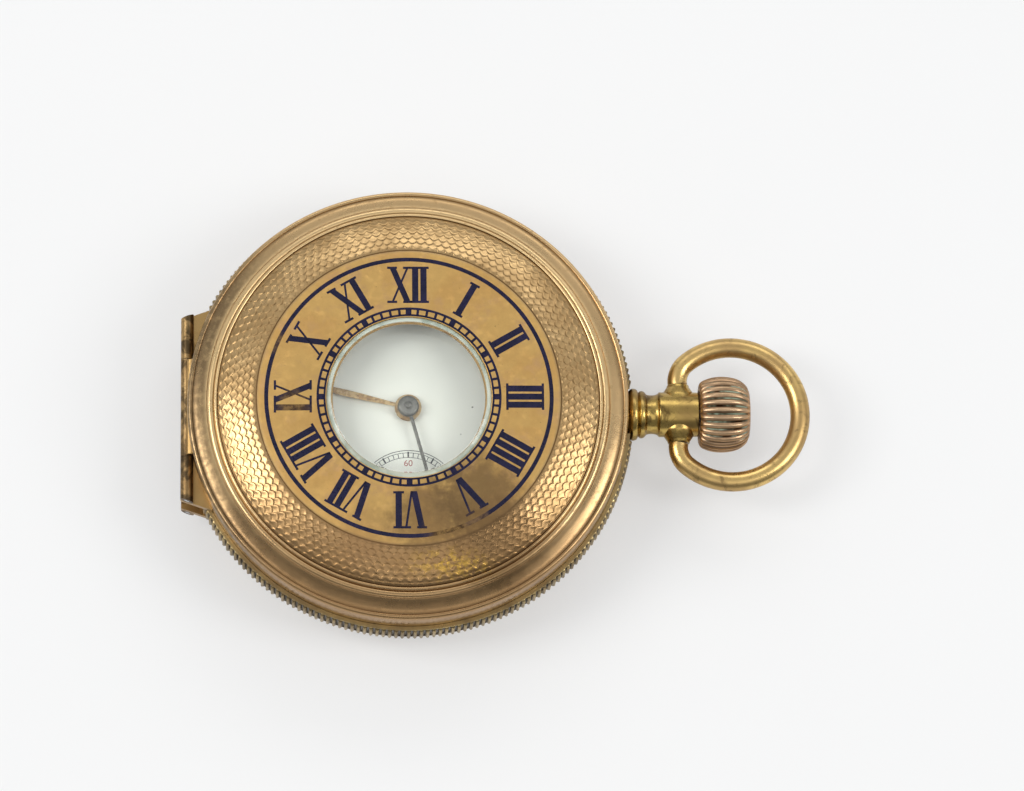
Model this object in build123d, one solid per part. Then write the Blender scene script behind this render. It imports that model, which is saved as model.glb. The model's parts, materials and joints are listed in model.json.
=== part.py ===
from build123d import *
from math import atan2, cos, degrees, dist, radians, sin, sqrt
import os

# A half hunter pocket watch, in millimetres, lying on its back with the front cover shut.
# +Z is up through the dial, +Y points to 12 o'clock and +X out along the pendant.
# The origin is the centre of the flat face that the watch rests on.

# Clearances that all fits share
seat_gap = 0.03          # between pieces that are pressed, soldered or screwed together
running_gap = 0.05       # round pivots and between pieces that move past each other
snap_gap = 0.1           # between a cover's rim and the lip that it snaps over
overrun = 1.0            # how far a cut runs past what it cuts

# Small round pieces inside the watch are prisms with this many flats, larger ones stay round
pin_limit = 3.0          # radius below which a piece has the fewest flats
pin_sides = 12
wheel_limit = 10.0       # radius from which a piece stays round
wheel_sides = 36

# Stack from the rest face up to the dial
back_sheet = 0.6         # thickness of the back cover
back_space = 0.9         # air between back cover and cuvette
cuvette_sheet = 0.4
cuvette_space = 0.3      # air between cuvette and the highest screw
screw_head = 0.35
top_wheel = 0.5          # thickness of ratchet and crown wheel
bridge_thickness = 1.2
train_space = 2.62       # clear height between the bridges and the main plate
plate_thickness = 1.8
dial_thickness = 0.7

# Stack from the dial up to the top of the front cover
hour_hand_rise = 0.55
hand_thickness = 0.15
hand_spacing = 0.35
hub_height = 0.35
crystal_space = 0.4
crystal_thickness = 0.5
cover_space = 2.5        # from the inner crystal to the underside of the front cover
cover_sheet = 0.6

# Case middle, which goes round the movement and the cuvette
cuvette_room = 0.67      # between the bridges and the cuvette's rim
band_height = 3.2
band_thickness = 0.75
mill_depth = 0.22
mill_count = 132
middle_height = 5.0
lip_thickness = 0.3
lip_height = 0.9
spring_pocket = 1.05     # depth of the pockets for the case springs
rim_wall = 0.95          # thickness of both covers at the rim

# Case springs: headings in degrees between which they lie, and half the width of their fingers
lock_span = (-62, 14)
lift_span = (112, 166)
finger_angle = 4
finger_play = 1          # degrees beside a finger or a spring's end
spring_thickness = 0.6
hook_depth = 0.4
hook_height = 0.25

# Hinges at 9 o'clock
hinge_radius = 0.7       # outside of the hinge tubes
hinge_pin_radius = 0.3
hinge_rise = 0.3         # hinge axis above or below the case middle's faces
hinge_length = 22.8
front_case_tube = 5.85   # length of each of the case's tubes on the front hinge
back_case_tube = 4.5     # and on the back hinge
cuvette_knuckle = 2.9    # length of each of the cuvette's two tubes
lug_height = 1.2
oblique_share = 0.35     # slope of the hinge's oblique ends

# Pendant, crown and bow
pendant_level = 7.0
pendant_root = 1.0       # how far the pendant's seat lies inside the milled band
collar_radius = 2.88
collar_length = 0.95      # of each of the two rings at the pendant's foot
collar_shares = (0.95, 0.86)
neck_radius = 2.2
neck_reach = 2.8         # from the milled band to where the neck widens into the pendant's barrel
barrel_length = 4.4      # of the pendant's barrel, up to its outer end
pendant_radius = 2.47
pendant_bore = 1.1
sleeve_radius = 1.7      # part of the pendant inside the case wall
boss_reach = 3.3         # top of the conical bosses that carry the bow
boss_base = 1.9
boss_top = 1.2
crown_length = 5.6
crown_radius = 4.24
crown_flutes = 28
crown_bore = 2.65
crown_press = 0.5        # travel of the crown inwards, which frees the front cover
crown_pull = 0.8         # travel of the crown outwards, to set the hands
# Stations of the crown: share of its length, share of its radius
crown_shares = [(0, 0.80), (0.2, 0.96), (0.45, 1.0), (0.78, 0.90), (0.97, 0.66)]
flute_share = 0.075
bow_pivot_reach = 2.2    # from the inner end of the pendant's barrel to the pins of the bow
bow_pin_radius = 0.6
bow_pin_length = 1.5
bow_radius = 7.66        # centre line of the bow's ring
bow_wire = 1.08          # radius of the bow's wire
bow_opening = 1.76       # how far the ring's circle would run on past the line of the pins
wire_sides = 12          # flats round the bow's wire
bow_eye = 1.2            # length of the straight eye at each end of the bow

# Front cover
window_radius = 9.05
glass_thickness = 0.75
glass_bevel = 0.8
glass_ring_width = 0.7
glass_ring_height = 0.35

# Front cover outline, from the window to the rim: share of the way out, share of the height
cover_shares = [(0.375, 1.0), (0.715, 0.965), (0.80, 0.87), (0.875, 0.71), (0.915, 0.71), (0.955, 0.52),
                (1.0, 0.40)]
cover_inner_shares = [(0.375, 1.0), (0.75, 0.93), (1.0, 0.38)]

# Back cover outline from the rest face to the rim: share of the way out, share of the height
back_shares = [(0.5, 0), (0.9, 0.2), (1.0, 0.62)]
tab_thickness = 0.4      # of the flat tabs that join the cuvette to its hinge tubes
cuvette_flare = 1.2      # how far the cuvette's wall leans out
cuvette_rim = 0.6

# Inner bezel and crystal
bezel_width = 2.3
bezel_height = 1.7
crystal_seat = 0.5
crystal_flat_share = 0.55

# Dial and hands
dial_gap = 0.5           # between the dial and the case middle's bore
dial_hole = 1.3
seconds_offset = 10.0
seconds_hole = 0.6
hour_hand_length = 11.5
hour_hand_width = 0.75
minute_hand_length = 15.8
minute_hand_width = 0.42
seconds_hand_length = 4.6
hub_radius = 1.25
neck_share, belly_share = 0.25, 0.62   # of the hour hand's length, where its leaf starts and is widest
taper_share = 0.8                      # of the minute hand's length, where its point starts

# Movement
movement_gap = 0.1
crown_wheel_gap = 0.4    # between the crown wheel's lower ring and the barrel's teeth
arbor_radius = 0.4
pivot_radius = 0.18
pipe_radius = 0.7        # cannon pinion's pipe
hour_pipe_wall = 0.25
wheel_thickness = 0.25
pinion_length = 0.75
jewel_radius = 0.8
balance_radius = 7.4
balance_rim = 0.8
balance_height = 0.65
balance_angle = 199.0
balance_distance = 12.27
balance_wall = 1.93      # least width of the movement's plates outside the balance
barrel_room = 4.8        # and outside the barrel, where the pillars stand
escape_to_balance = 9.7
pallet_distance = 3.5    # pallet arbor from the escape wheel
roller_radius = 1.1
escape_radius = 3.0
cock_thickness = 0.5
screw_radius = 0.95
stem_radius = 0.8
stem_tip = 10.5
clutch_radius = 1.3
clutch_length = 2.8
pinion_radius = 1.5
winding_pinion_length = 1.6
barrel_height = 1.8
barrel_wall = 0.5
recess_depth = 1.0       # of the recess for the wheels under the dial
jewel_height = 0.4
pillar_radius = 1.6
pillar_inset = 3.3       # of the bridges' pillars from the movement's edge
cock_foot_inset = 3.24
cock_foot_radius = 2.6
cock_head_radius = 2.0
pallet_cock_inset = 3.2
pallet_cock_radius = 0.95
pallet_cock_thickness = 0.3
split_offset = 1.9       # of the line between the two bridges from the middle
pallet_bar = 0.28        # half the width of the pallet fork's arms
click_radius = 0.9
click_reach = 0.6
click_nose = 0.25
hairspring_inner = 0.55
hairspring_width = 0.09
hairspring_turns = 3
hairspring_sides = 12    # straight stretches in each turn
spoke_count = 4
escape_spoke_count = 3

# Shares of the movement's sizes
top_screw_share = 1.3
foot_share = 0.9         # pallet cock's foot against a pillar
lean_share, tip_share, escape_root_share = 0.35, 0.1, 0.78
tooth_back_shares = (0.55, 0.95)
escape_rim_share, escape_hub_share = 0.6, 1.5
hairspring_share = 0.5   # outer end of the hairspring on the balance's radius
regulator_share = 0.75   # end of the regulator's pointer on the balance's radius
leaf_share = 0.85        # depth of the recess that the minute wheel's leaves fill
seconds_boss_share = 2.5

# Heights of the wheels, as shares of the space between bridges and main plate
level_shares = {"third_wheel": 0.155, "fourth_pinion": 0.045, "escape_wheel": 0.29, "escape_pinion": 0.46,
                "fourth_wheel": 0.54, "centre_pinion": 0.30, "third_pinion": 0.705, "centre_wheel": 0.81}

# Headings and turns in degrees
barrel_heading = 48.0
minute_heading = 62.0
cock_foot_heading = 156.2
pallet_cock_heading = 227.2
split_heading = 40.0
barrel_pillars = (75, 28, -33)
train_pillars = (-70, -115, 132)
case_screw_headings = (48, 200)
click_heading = 105.0
click_lean = 14
click_spring_span = (-34, 10)
click_foot_turn = -32
pallet_spread = 38.0
escape_wheel_turn = 12
balance_arm_turn = 25
regulator_heading = -20.0
centre_turn = 7.0
cannon_turn = 0.0

# Gear modules and tooth counts
barrel_module, barrel_teeth, centre_leaves = 0.257, 60, 10
centre_module, centre_teeth, third_leaves = 0.227, 48, 6
third_module, third_teeth, fourth_leaves = 0.213, 45, 6
fourth_module, fourth_teeth, escape_leaves = 0.16, 60, 6
motion_module, cannon_leaves, minute_teeth = 0.24, 8, 24
hour_teeth, minute_leaves = 32, 8
ratchet_teeth, crown_wheel_teeth = 28, 20
escape_teeth = 15
winding_leaves = 10

# Tooth heights and rims as shares of the module
addendum_share = 0.35
dedendum_share = 1.1
rim_share = 1.6          # height of a wheel's rim below its teeth
window_share = 0.75      # width of the windows between a wheel's spokes

# Clock headings of the hands
hour_clock, minute_clock, seconds_clock = 283.5, 164.5, 118.0

# Levels worked out from the stacks
cuvette_low = back_sheet + back_space
cuvette_high = cuvette_low + cuvette_sheet
top_wheel_low = cuvette_high + cuvette_space + screw_head
bridge_low = top_wheel_low + top_wheel + seat_gap
bridge_high = bridge_low + bridge_thickness
plate_low = bridge_high + train_space
plate_high = plate_low + plate_thickness
dial_high = plate_high + seat_gap + dial_thickness
middle_high = dial_high
middle_low = middle_high - middle_height
hour_hand_low = dial_high + hour_hand_rise
minute_hand_low = hour_hand_low + hand_thickness + hand_spacing
hub_high = minute_hand_low + hand_thickness + hub_height
crystal_low = hub_high + crystal_space
crystal_high = crystal_low + crystal_thickness
cover_high = crystal_high + cover_space + cover_sheet

# Radii and places worked out from the sizes above, from the movement outwards
barrel_distance = barrel_module * (barrel_teeth + centre_leaves) / 2
barrel_tip = barrel_module * (barrel_teeth / 2 + addendum_share)
movement_radius = max(balance_distance + balance_radius + balance_wall,
                      barrel_distance + barrel_tip + barrel_room)
pillar_circle = movement_radius - pillar_inset
cock_foot_circle = movement_radius - cock_foot_inset
pallet_cock_circle = movement_radius - pallet_cock_inset
bore_radius = movement_radius + movement_gap
dial_radius = bore_radius - dial_gap
lip_radius = movement_radius - movement_gap + cuvette_room + cuvette_rim + snap_gap + lip_thickness
wall_radius = lip_radius + snap_gap + rim_wall
band_radius = wall_radius + seat_gap + band_thickness
cover_radius = wall_radius
hinge_x = -(cover_radius + running_gap)
front_knuckle = hinge_length - 2 * (front_case_tube + running_gap)
back_knuckle = hinge_length - 2 * (back_case_tube + cuvette_knuckle + 2 * running_gap)
front_hinge_z = middle_high + hinge_rise
back_hinge_z = middle_low - hinge_rise
front_rim = middle_high + running_gap
back_rim = middle_low - running_gap
band_low = (middle_low + middle_high - band_height) / 2
pendant_x = band_radius - pendant_root
root_radius = middle_high - pendant_level - snap_gap
collar_x = cover_radius + snap_gap
neck_end = band_radius + neck_reach
barrel_end = neck_end + barrel_length
bow_pivot_x = neck_end + bow_pivot_reach
bow_centre = bow_pivot_x + bow_radius - bow_opening
crown_x = barrel_end + snap_gap


def outline(points):
    """Closed face through points; a third value bows the line that ends there, as a share of it."""
    edges = []
    for start, end in zip(points, points[1:] + points[:1]):
        a, b = start[:2], end[:2]
        share = end[2] if len(end) > 2 else 0
        edges.append(SagittaArc(a, b, share * dist(a, b)) if share else Line(a, b))
    return make_face(edges)


def turned(points):
    """Solid turned about the watch's own axis from (radius, height) points."""
    return revolve(Plane.XZ * outline(points), Axis.Z)


def turned_along_pendant(points):
    """Solid turned about the pendant's axis from (x, radius) points."""
    return Pos(0, 0, pendant_level) * revolve(Plane.XZ * outline(points), Axis.X)


def sides_for(radius):
    """Number of flats of a small round piece, or None where it stays round."""
    if radius < pin_limit:
        return pin_sides
    return wheel_sides if radius < wheel_limit else None


def disc(radius, low, high, at=(0, 0)):
    """Upright disc, or a regular prism inside its circle where it is small."""
    sides = sides_for(radius)
    face = RegularPolygon(radius, sides) if sides else Circle(radius)
    return Pos(at[0], at[1], low) * extrude(face, high - low)


def hole(radius, low, high, at=(0, 0)):
    """Upright cut that runs past both levels, with its flats outside the circle where it is small."""
    sides = sides_for(radius)
    face = RegularPolygon(radius, sides, major_radius=False) if sides else Circle(radius)
    return Pos(at[0], at[1], low - overrun) * extrude(face, high - low + 2 * overrun)


def ring(outer, inner, low, high, at=(0, 0)):
    return disc(outer, low, high, at) - hole(inner, low, high, at)


def block(low, high):
    """Box between two opposite corners."""
    size = [b - a for a, b in zip(low, high)]
    return Pos(*low) * Box(*size, align=(Align.MIN, Align.MIN, Align.MIN))


def rod_y(radius, start, end, x, z):
    """Round rod along Y between two places."""
    base = (Align.CENTER, Align.CENTER, Align.MIN)
    return Pos(x, start, z) * Rot(-90, 0, 0) * Cylinder(radius, end - start, align=base)


def polar(radius, heading, at=(0, 0)):
    return at[0] + radius * cos(radians(heading)), at[1] + radius * sin(radians(heading))


def clock(radius, heading, at=(0, 0)):
    """Place at a heading counted clockwise from 12 o'clock."""
    return polar(radius, 90 - heading, at)


def heading_of(a, b):
    return degrees(atan2(b[1] - a[1], b[0] - a[0]))


def meeting_point(a, a_reach, b, b_reach, side):
    """Place at given distances from two others, to the left (1) or right (-1) of the line a to b."""
    span = dist(a, b)
    along = (a_reach ** 2 - b_reach ** 2 + span ** 2) / (2 * span)
    across = side * sqrt(a_reach ** 2 - along ** 2)
    ux, uy = (b[0] - a[0]) / span, (b[1] - a[1]) / span
    return a[0] + along * ux - across * uy, a[1] + along * uy + across * ux


def plate_between(a, a_radius, b, b_radius, low, high):
    """Flat bar with round ends of two sizes."""
    ends = (Pos(*a) * Circle(a_radius)).edges() + (Pos(*b) * Circle(b_radius)).edges()
    return Pos(0, 0, low) * extrude(make_hull(ends), high - low)


def sector(outer, inner, start, end, low, high):
    """Part of a ring between two headings in degrees."""
    whole = ring(outer, inner, low, high)
    far = outer / cos(radians((end - start) / 4)) + overrun
    corners = [polar(far, start + (end - start) * share / 4) for share in range(5)]
    wedge = make_face(Polyline([(0, 0)] + corners, close=True))
    return whole & (Pos(0, 0, low) * extrude(wedge, high - low))


def pitch_radius(module, teeth):
    return module * teeth / 2


def meshing_turn(turn, teeth, heading, other_teeth):
    """Turn of a second gear, at a heading from the first, so that its teeth meet the first's gaps."""
    phase = (turn - heading) * teeth / 360 + 0.5
    return heading + 180 - phase * 360 / other_teeth


def gear(module, teeth, low, high, at, turn=0):
    """Toothed disc whose first tooth points along the turn."""
    tip = pitch_radius(module, teeth) + addendum_share * module
    root = pitch_radius(module, teeth) - dedendum_share * module
    points = [polar(tip if step % 2 == 0 else root, step * 180 / teeth) for step in range(2 * teeth)]
    face = Pos(at[0], at[1], low) * Rot(0, 0, turn) * make_face(Polyline(points, close=True))
    return extrude(face, high - low)


def wheel_windows(outer, inner, spokes, low, high, at, turn=0):
    """Cuts between the straight spokes of a wheel, with straight edges."""
    cuts = []
    for index in range(spokes):
        middle = turn + (index + 0.5) * 360 / spokes
        half = window_share * 180 / spokes
        corners = [polar(outer, middle - half), polar(outer, middle + half),
                   polar(inner, middle + half / 2), polar(inner, middle - half / 2)]
        face = Pos(at[0], at[1], low - overrun) * make_face(Polyline(corners, close=True))
        cuts.append(extrude(face, high - low + 2 * overrun))
    return cuts


# Places of the arbors
centre = (0, 0)
fourth = (0, -seconds_offset)
centre_to_third = pitch_radius(centre_module, centre_teeth + third_leaves)
third_to_fourth = pitch_radius(third_module, third_teeth + fourth_leaves)
third = meeting_point(centre, centre_to_third, fourth, third_to_fourth, -1)
barrel = polar(barrel_distance, barrel_heading)
balance = polar(balance_distance, balance_angle)
fourth_to_escape = pitch_radius(fourth_module, fourth_teeth + escape_leaves)
escape = meeting_point(fourth, fourth_to_escape, balance, escape_to_balance, 1)
pallet_heading = heading_of(escape, balance)
pallet = polar(pallet_distance, pallet_heading, escape)
crown_wheel_share = crown_wheel_teeth / (ratchet_teeth + crown_wheel_teeth)
barrel_to_crown_wheel = (barrel_tip + crown_wheel_gap + clutch_radius / 2) / (1 - crown_wheel_share / 2)
crown_wheel_at = (barrel[0] + sqrt(barrel_to_crown_wheel ** 2 - barrel[1] ** 2), 0)
top_module = 2 * barrel_to_crown_wheel / (ratchet_teeth + crown_wheel_teeth)
minute_at = polar(pitch_radius(motion_module, cannon_leaves + minute_teeth), minute_heading)
cock_foot = polar(cock_foot_circle, cock_foot_heading)
pallet_cock_foot = polar(pallet_cock_circle, pallet_cock_heading)


def hinge_groove(z):
    """Round groove that clears the tubes of a hinge over its whole length."""
    reach = hinge_length / 2 + running_gap
    return rod_y(hinge_radius + seat_gap, -reach, reach, hinge_x, z)


def hinge_plan(low, high):
    """Plan of a hinge: straight along the tube, with both ends cut obliquely."""
    half = hinge_length / 2
    far = hinge_x - hinge_radius - overrun
    near = hinge_x + 4 * hinge_radius
    slope = oblique_share * (near - far)
    corners = [(far, slope - half), (far, half - slope), (near, half), (near, -half)]
    return Pos(0, 0, low) * extrude(make_face(Polyline(corners, close=True)), high - low)


def hinge_tube(start, end, z):
    tube = rod_y(hinge_radius, start, end, hinge_x, z)
    tube &= hinge_plan(z - hinge_radius - overrun, z + hinge_radius + overrun)
    return tube - rod_y(hinge_pin_radius + running_gap, start - overrun, end + overrun, hinge_x, z)


def case_tubes(inner_reach, z):
    """The two outer tubes of a hinge, one at each end."""
    half = hinge_length / 2
    return Compound([hinge_tube(-half, -inner_reach, z), hinge_tube(inner_reach, half, z)])


def hinge_pin(z):
    half = hinge_length / 2
    pin = rod_y(hinge_pin_radius, -half, half, hinge_x, z)
    return pin & hinge_plan(z - overrun, z + overrun)


def hinge_seat(low, high):
    """Straight seat that fills the space between the round wall and the outer tubes."""
    half = hinge_length / 2
    bar = block((hinge_x - hinge_radius, -half, low), (hinge_x + 4 * hinge_radius, half, high))
    return (bar & hinge_plan(low, high)) - disc(bore_radius, low - overrun, high + overrun)


def case_middle():
    lip_inner = lip_radius - lip_thickness
    body = turned([
        (bore_radius, middle_low), (wall_radius, middle_low),
        (wall_radius, middle_high), (lip_radius, middle_high), (lip_radius, middle_high + lip_height),
        (lip_inner, middle_high + lip_height), (lip_inner, middle_high), (bore_radius, middle_high)])
    body += hinge_seat(band_low + band_height + seat_gap, middle_high)
    body += hinge_seat(middle_low, band_low - seat_gap)
    body -= hinge_groove(front_hinge_z)
    body -= hinge_groove(back_hinge_z)
    body -= pendant_seat_cut()
    pocket_low, pocket_high = spring_levels()
    pocket_radius = bore_radius + spring_pocket
    for start, end in (lock_span, lift_span):
        body -= sector(pocket_radius, bore_radius - overrun, start - finger_play, end + finger_play,
                       pocket_low - running_gap, pocket_high + running_gap)
    for heading in (0, lift_span[1] - finger_angle):
        body -= sector(pocket_radius, bore_radius - overrun, heading - finger_angle - finger_play,
                       heading + finger_angle + finger_play, pocket_high, middle_high + overrun)
    return body


def pendant_seat_cut():
    """Flat seat and hole in the case wall for the pendant."""
    seat_radius = collar_radius + seat_gap
    sleeve_hole = sleeve_radius + seat_gap
    seat = turned_along_pendant([(pendant_x - seat_gap, 0), (pendant_x - seat_gap, seat_radius),
                                 (band_radius + overrun, seat_radius), (band_radius + overrun, 0)])
    bore = turned_along_pendant([(bore_radius - overrun, 0), (bore_radius - overrun, sleeve_hole),
                                 (band_radius, sleeve_hole), (band_radius, 0)])
    return seat + bore


def milled_band():
    tip, root = band_radius, band_radius - mill_depth
    points = [polar(tip if step % 2 else root, step * 180 / mill_count) for step in range(2 * mill_count)]
    band = Pos(0, 0, band_low) * extrude(make_face(Polyline(points, close=True)), band_height)
    band -= disc(wall_radius + seat_gap, band_low - overrun, band_low + band_height + overrun)
    return band - pendant_seat_cut()


def spring_levels():
    return band_low + running_gap, band_low + band_height - running_gap


def lock_spring():
    """Catch of the front cover: a strip along the case wall with a hook beside the pendant."""
    low, high = spring_levels()
    inner = bore_radius + movement_gap
    outer = inner + spring_thickness
    top = catch_high() + running_gap + hook_height
    spring = sector(outer, inner, lock_span[0], lock_span[1], low, high)
    spring += sector(outer, inner, -finger_angle, finger_angle, high - overrun, top)
    spring += sector(outer + hook_depth, inner, -finger_angle, finger_angle, top - hook_height, top)
    hole = turned_along_pendant([(inner - overrun, 0), (inner - overrun, sleeve_radius + snap_gap),
                                 (outer + overrun, sleeve_radius + snap_gap), (outer + overrun, 0)])
    return spring - hole


def lift_spring():
    """Spring that lifts the front cover, with a finger up beside the hinge."""
    low, high = spring_levels()
    inner = bore_radius + movement_gap
    outer = inner + spring_thickness
    middle = lift_span[1] - finger_angle
    strip = sector(outer, inner, lift_span[0], lift_span[1], low, high)
    return strip + sector(outer, inner, middle - finger_angle, middle + finger_angle, high - overrun,
                          middle_high)


def catch_low():
    return middle_high + lip_height + running_gap


def catch_high():
    return catch_low() + cover_sheet


def pendant_tube():
    inner_end = bore_radius + running_gap
    body = turned_along_pendant([
        (inner_end, pendant_bore), (inner_end, sleeve_radius), (pendant_x, sleeve_radius),
        (pendant_x, root_radius), (collar_x, root_radius), (collar_x, collar_radius * collar_shares[0]),
        (collar_x + collar_length / 2, collar_radius),
        (collar_x + collar_length, collar_radius * collar_shares[1]),
        (collar_x + 3 * collar_length / 2, collar_radius * collar_shares[0]),
        (collar_x + 2 * collar_length, neck_radius), (neck_end, neck_radius), (neck_end, pendant_radius),
        (barrel_end, pendant_radius), (barrel_end, pendant_bore)])
    for side in (-1, 1):
        height = boss_reach - boss_base
        boss = Cone(boss_base, boss_top, height, align=(Align.CENTER, Align.CENTER, Align.MIN))
        body += Pos(bow_pivot_x, side * boss_base, pendant_level) * Rot(-90 * side, 0, 0) * boss
    body -= turned_along_pendant([(inner_end, 0), (inner_end, pendant_bore), (barrel_end, pendant_bore),
                                  (barrel_end, 0)])
    for side in (-1, 1):
        ends = sorted((side * (pin_start() - snap_gap), side * (boss_reach + overrun)))
        body -= rod_y(bow_pin_radius + running_gap, ends[0], ends[1], bow_pivot_x, pendant_level)
    return body


def pin_start():
    return boss_reach + running_gap - bow_pin_length


def bow():
    """Ring of round wire whose straight eyes end in pins that turn in the pendant's bosses."""
    eye_end = boss_reach + running_gap + bow_eye
    open_angle = degrees(atan2(eye_end, bow_centre - bow_pivot_x + bow_wire / 2))
    start = Plane.XZ * Pos(bow_radius, 0) * RegularPolygon(bow_wire, wire_sides)
    arc = revolve(Rot(0, 0, -180 + open_angle) * start, Axis.Z, 360 - 2 * open_angle)
    body = Pos(bow_centre, 0, pendant_level) * arc
    for side in (-1, 1):
        eye = sorted((side * (boss_reach + running_gap), side * eye_end))
        pin = sorted((side * pin_start(), side * (boss_reach + 2 * running_gap)))
        body += rod_y(bow_wire, eye[0], eye[1], bow_pivot_x, pendant_level)
        body += rod_y(bow_pin_radius, pin[0], pin[1], bow_pivot_x, pendant_level)
    return body


def crown():
    """Onion crown: similar star outlines at several stations, joined by flat strips."""
    sections = []
    for along, share in crown_shares:
        tip = crown_radius * share
        root = tip * (1 - flute_share)
        points = [polar(tip if step % 2 else root, step * 180 / crown_flutes)
                  for step in range(2 * crown_flutes)]
        place = Pos(crown_x + along * crown_length, 0, pendant_level) * Rot(0, 90, 0)
        sections.append(place * make_face(Polyline(points, close=True)))
    body = loft(sections, ruled=True)
    end = crown_x + crown_length
    last, share = crown_shares[-1]
    cap_radius = crown_radius * share * (1 - 2 * flute_share)
    body += turned_along_pendant([(crown_x + last * crown_length - seat_gap, 0),
                                  (crown_x + last * crown_length - seat_gap, cap_radius),
                                  (end, cap_radius * crown_shares[1][1]), (end, 0)])
    depth = crown_press + 2 * snap_gap
    body -= turned_along_pendant([(crown_x - overrun, 0), (crown_x - overrun, crown_bore),
                                  (crown_x + depth, crown_bore), (crown_x + depth, 0)])
    bore_end = crown_x + crown_length / 2 + seat_gap
    return body - turned_along_pendant([(crown_x, 0), (crown_x, stem_radius + seat_gap),
                                        (bore_end, stem_radius + seat_gap), (bore_end, 0)])


def winding_stem():
    return turned_along_pendant([(stem_tip, 0), (stem_tip, stem_radius / 2),
                                 (stem_tip + clutch_radius, stem_radius / 2),
                                 (stem_tip + clutch_radius, stem_radius),
                                 (crown_x + crown_length / 2, stem_radius),
                                 (crown_x + crown_length / 2, 0)])


def leaf_roller(start, end, outer, leaves, bore):
    """Toothed roller on the stem."""
    points = [polar(outer if step % 2 else outer - clutch_radius / 4, step * 180 / leaves)
              for step in range(2 * leaves)]
    face = Pos(start, 0, pendant_level) * Rot(0, 90, 0) * make_face(Polyline(points, close=True))
    roller = extrude(face, end - start)
    hole = turned_along_pendant([(start - overrun, 0), (start - overrun, bore), (end + overrun, bore),
                                 (end + overrun, 0)])
    return roller - hole


def winding_start():
    return crown_wheel_at[0] + crown_ring_radius() - winding_pinion_length / 2


def crown_ring_radius():
    """Radius at which the crown wheel's lower ring meets the winding pinion."""
    return pitch_radius(top_module, crown_wheel_teeth) / 2 + clutch_radius / 4


def winding_pinion():
    start = winding_start()
    return leaf_roller(start, start + winding_pinion_length, pinion_radius, winding_leaves,
                       stem_radius + running_gap)


def clutch():
    end = winding_start() - crown_pull - running_gap
    return leaf_roller(end - clutch_length, end, clutch_radius, winding_leaves, stem_radius + seat_gap)


def front_cover():
    rise = cover_high - front_rim
    outside = [(cover_radius * out, front_rim + rise * up) for out, up in cover_shares]
    outside[0] = (window_radius, cover_high)
    inner_radius = cover_radius - rim_wall
    inside = [(inner_radius * out, front_rim + (rise - cover_sheet) * up)
              for out, up in reversed(cover_inner_shares)]
    inside[-1] = (window_radius, cover_high - cover_sheet)
    body = turned(outside + [(cover_radius, front_rim), (inner_radius, front_rim)] + inside)
    half = front_knuckle / 2
    lug = block((hinge_x, -half, front_rim), (hinge_x + rim_wall, half, front_hinge_z + lug_height))
    body += lug
    body += sector(inner_radius + seat_gap, lip_radius - lip_thickness, -finger_angle, finger_angle,
                   catch_low(), catch_high())
    return body - hinge_groove(front_hinge_z)


def cover_glass():
    """Window glass with a bevelled edge."""
    radius = window_radius - seat_gap
    top = cover_high + running_gap
    low = top - glass_thickness
    bevel_drop = glass_thickness / 2
    return turned([(0, low), (radius, low), (radius, top - bevel_drop), (radius - glass_bevel, top),
                   (0, top)])


def glass_ring():
    """Ring under the window that holds the glass."""
    high = cover_high - cover_sheet - seat_gap
    low = high - glass_ring_height
    glass_low = cover_high + running_gap - glass_thickness
    shelf = min(glass_low - seat_gap, high)
    outer = window_radius + glass_ring_width
    inner = window_radius - glass_bevel
    return turned([(inner, low), (outer, low), (outer, high), (window_radius, high), (window_radius, shelf),
                   (inner, shelf)])


def back_cover():
    inner_radius = cover_radius - rim_wall
    outside = [(cover_radius * out, back_rim * up) for out, up in back_shares]
    knee, knee_z = outside[1]
    shoulder_z = outside[-1][1]
    body = turned([(0, 0)] + outside + [
        (cover_radius, back_rim), (inner_radius, back_rim), (inner_radius, shoulder_z),
        (knee, knee_z + back_sheet), (0, back_sheet)])
    half = back_knuckle / 2
    body += block((hinge_x, -half, back_hinge_z - lug_height), (hinge_x + rim_wall, half, back_rim))
    body -= hinge_groove(back_hinge_z)
    for side in (-1, 1):
        edges = sorted((side * half, side * (half + cuvette_knuckle + 2 * running_gap)))
        body -= block((hinge_x - hinge_radius, edges[0], back_hinge_z - tab_thickness),
                      (-inner_radius + 2 * rim_wall, edges[1], back_rim + overrun))
    return body


def cuvette():
    """Inner dust cover: a shallow pan that snaps inside the case middle's lower lip."""
    outer = lip_radius - lip_thickness - snap_gap
    foot = outer - cuvette_flare
    body = turned([(0, cuvette_low), (foot, cuvette_low), (outer, back_rim), (outer - cuvette_rim, back_rim),
                   (foot - cuvette_sheet / 2, cuvette_high), (0, cuvette_high)])
    low, high = cuvette_spans()
    for start, end in ((low, high), (-high, -low)):
        body += block((hinge_x, start, back_hinge_z - tab_thickness / 2),
                      (-outer + cuvette_rim, end, back_rim))
    return body - hinge_groove(back_hinge_z)


def cuvette_spans():
    low = back_knuckle / 2 + running_gap
    return low, low + cuvette_knuckle


def cuvette_tubes():
    low, high = cuvette_spans()
    return Compound([hinge_tube(low, high, back_hinge_z), hinge_tube(-high, -low, back_hinge_z)])


def inner_bezel():
    outer = lip_radius - lip_thickness - snap_gap
    inner = outer - bezel_width
    low = middle_high + seat_gap
    high = low + bezel_height
    ledge = high - crystal_seat
    body = turned([(inner, low), (outer, low), (outer, low + bezel_height / 3),
                   (inner + crystal_seat * 2, high), (inner + crystal_seat, high),
                   (inner + crystal_seat, ledge), (inner, ledge)])
    return body - sector(outer + overrun, bore_radius + movement_gap / 2,
                         -finger_angle - finger_play, finger_angle + finger_play,
                         low - overrun, high + overrun)


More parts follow.
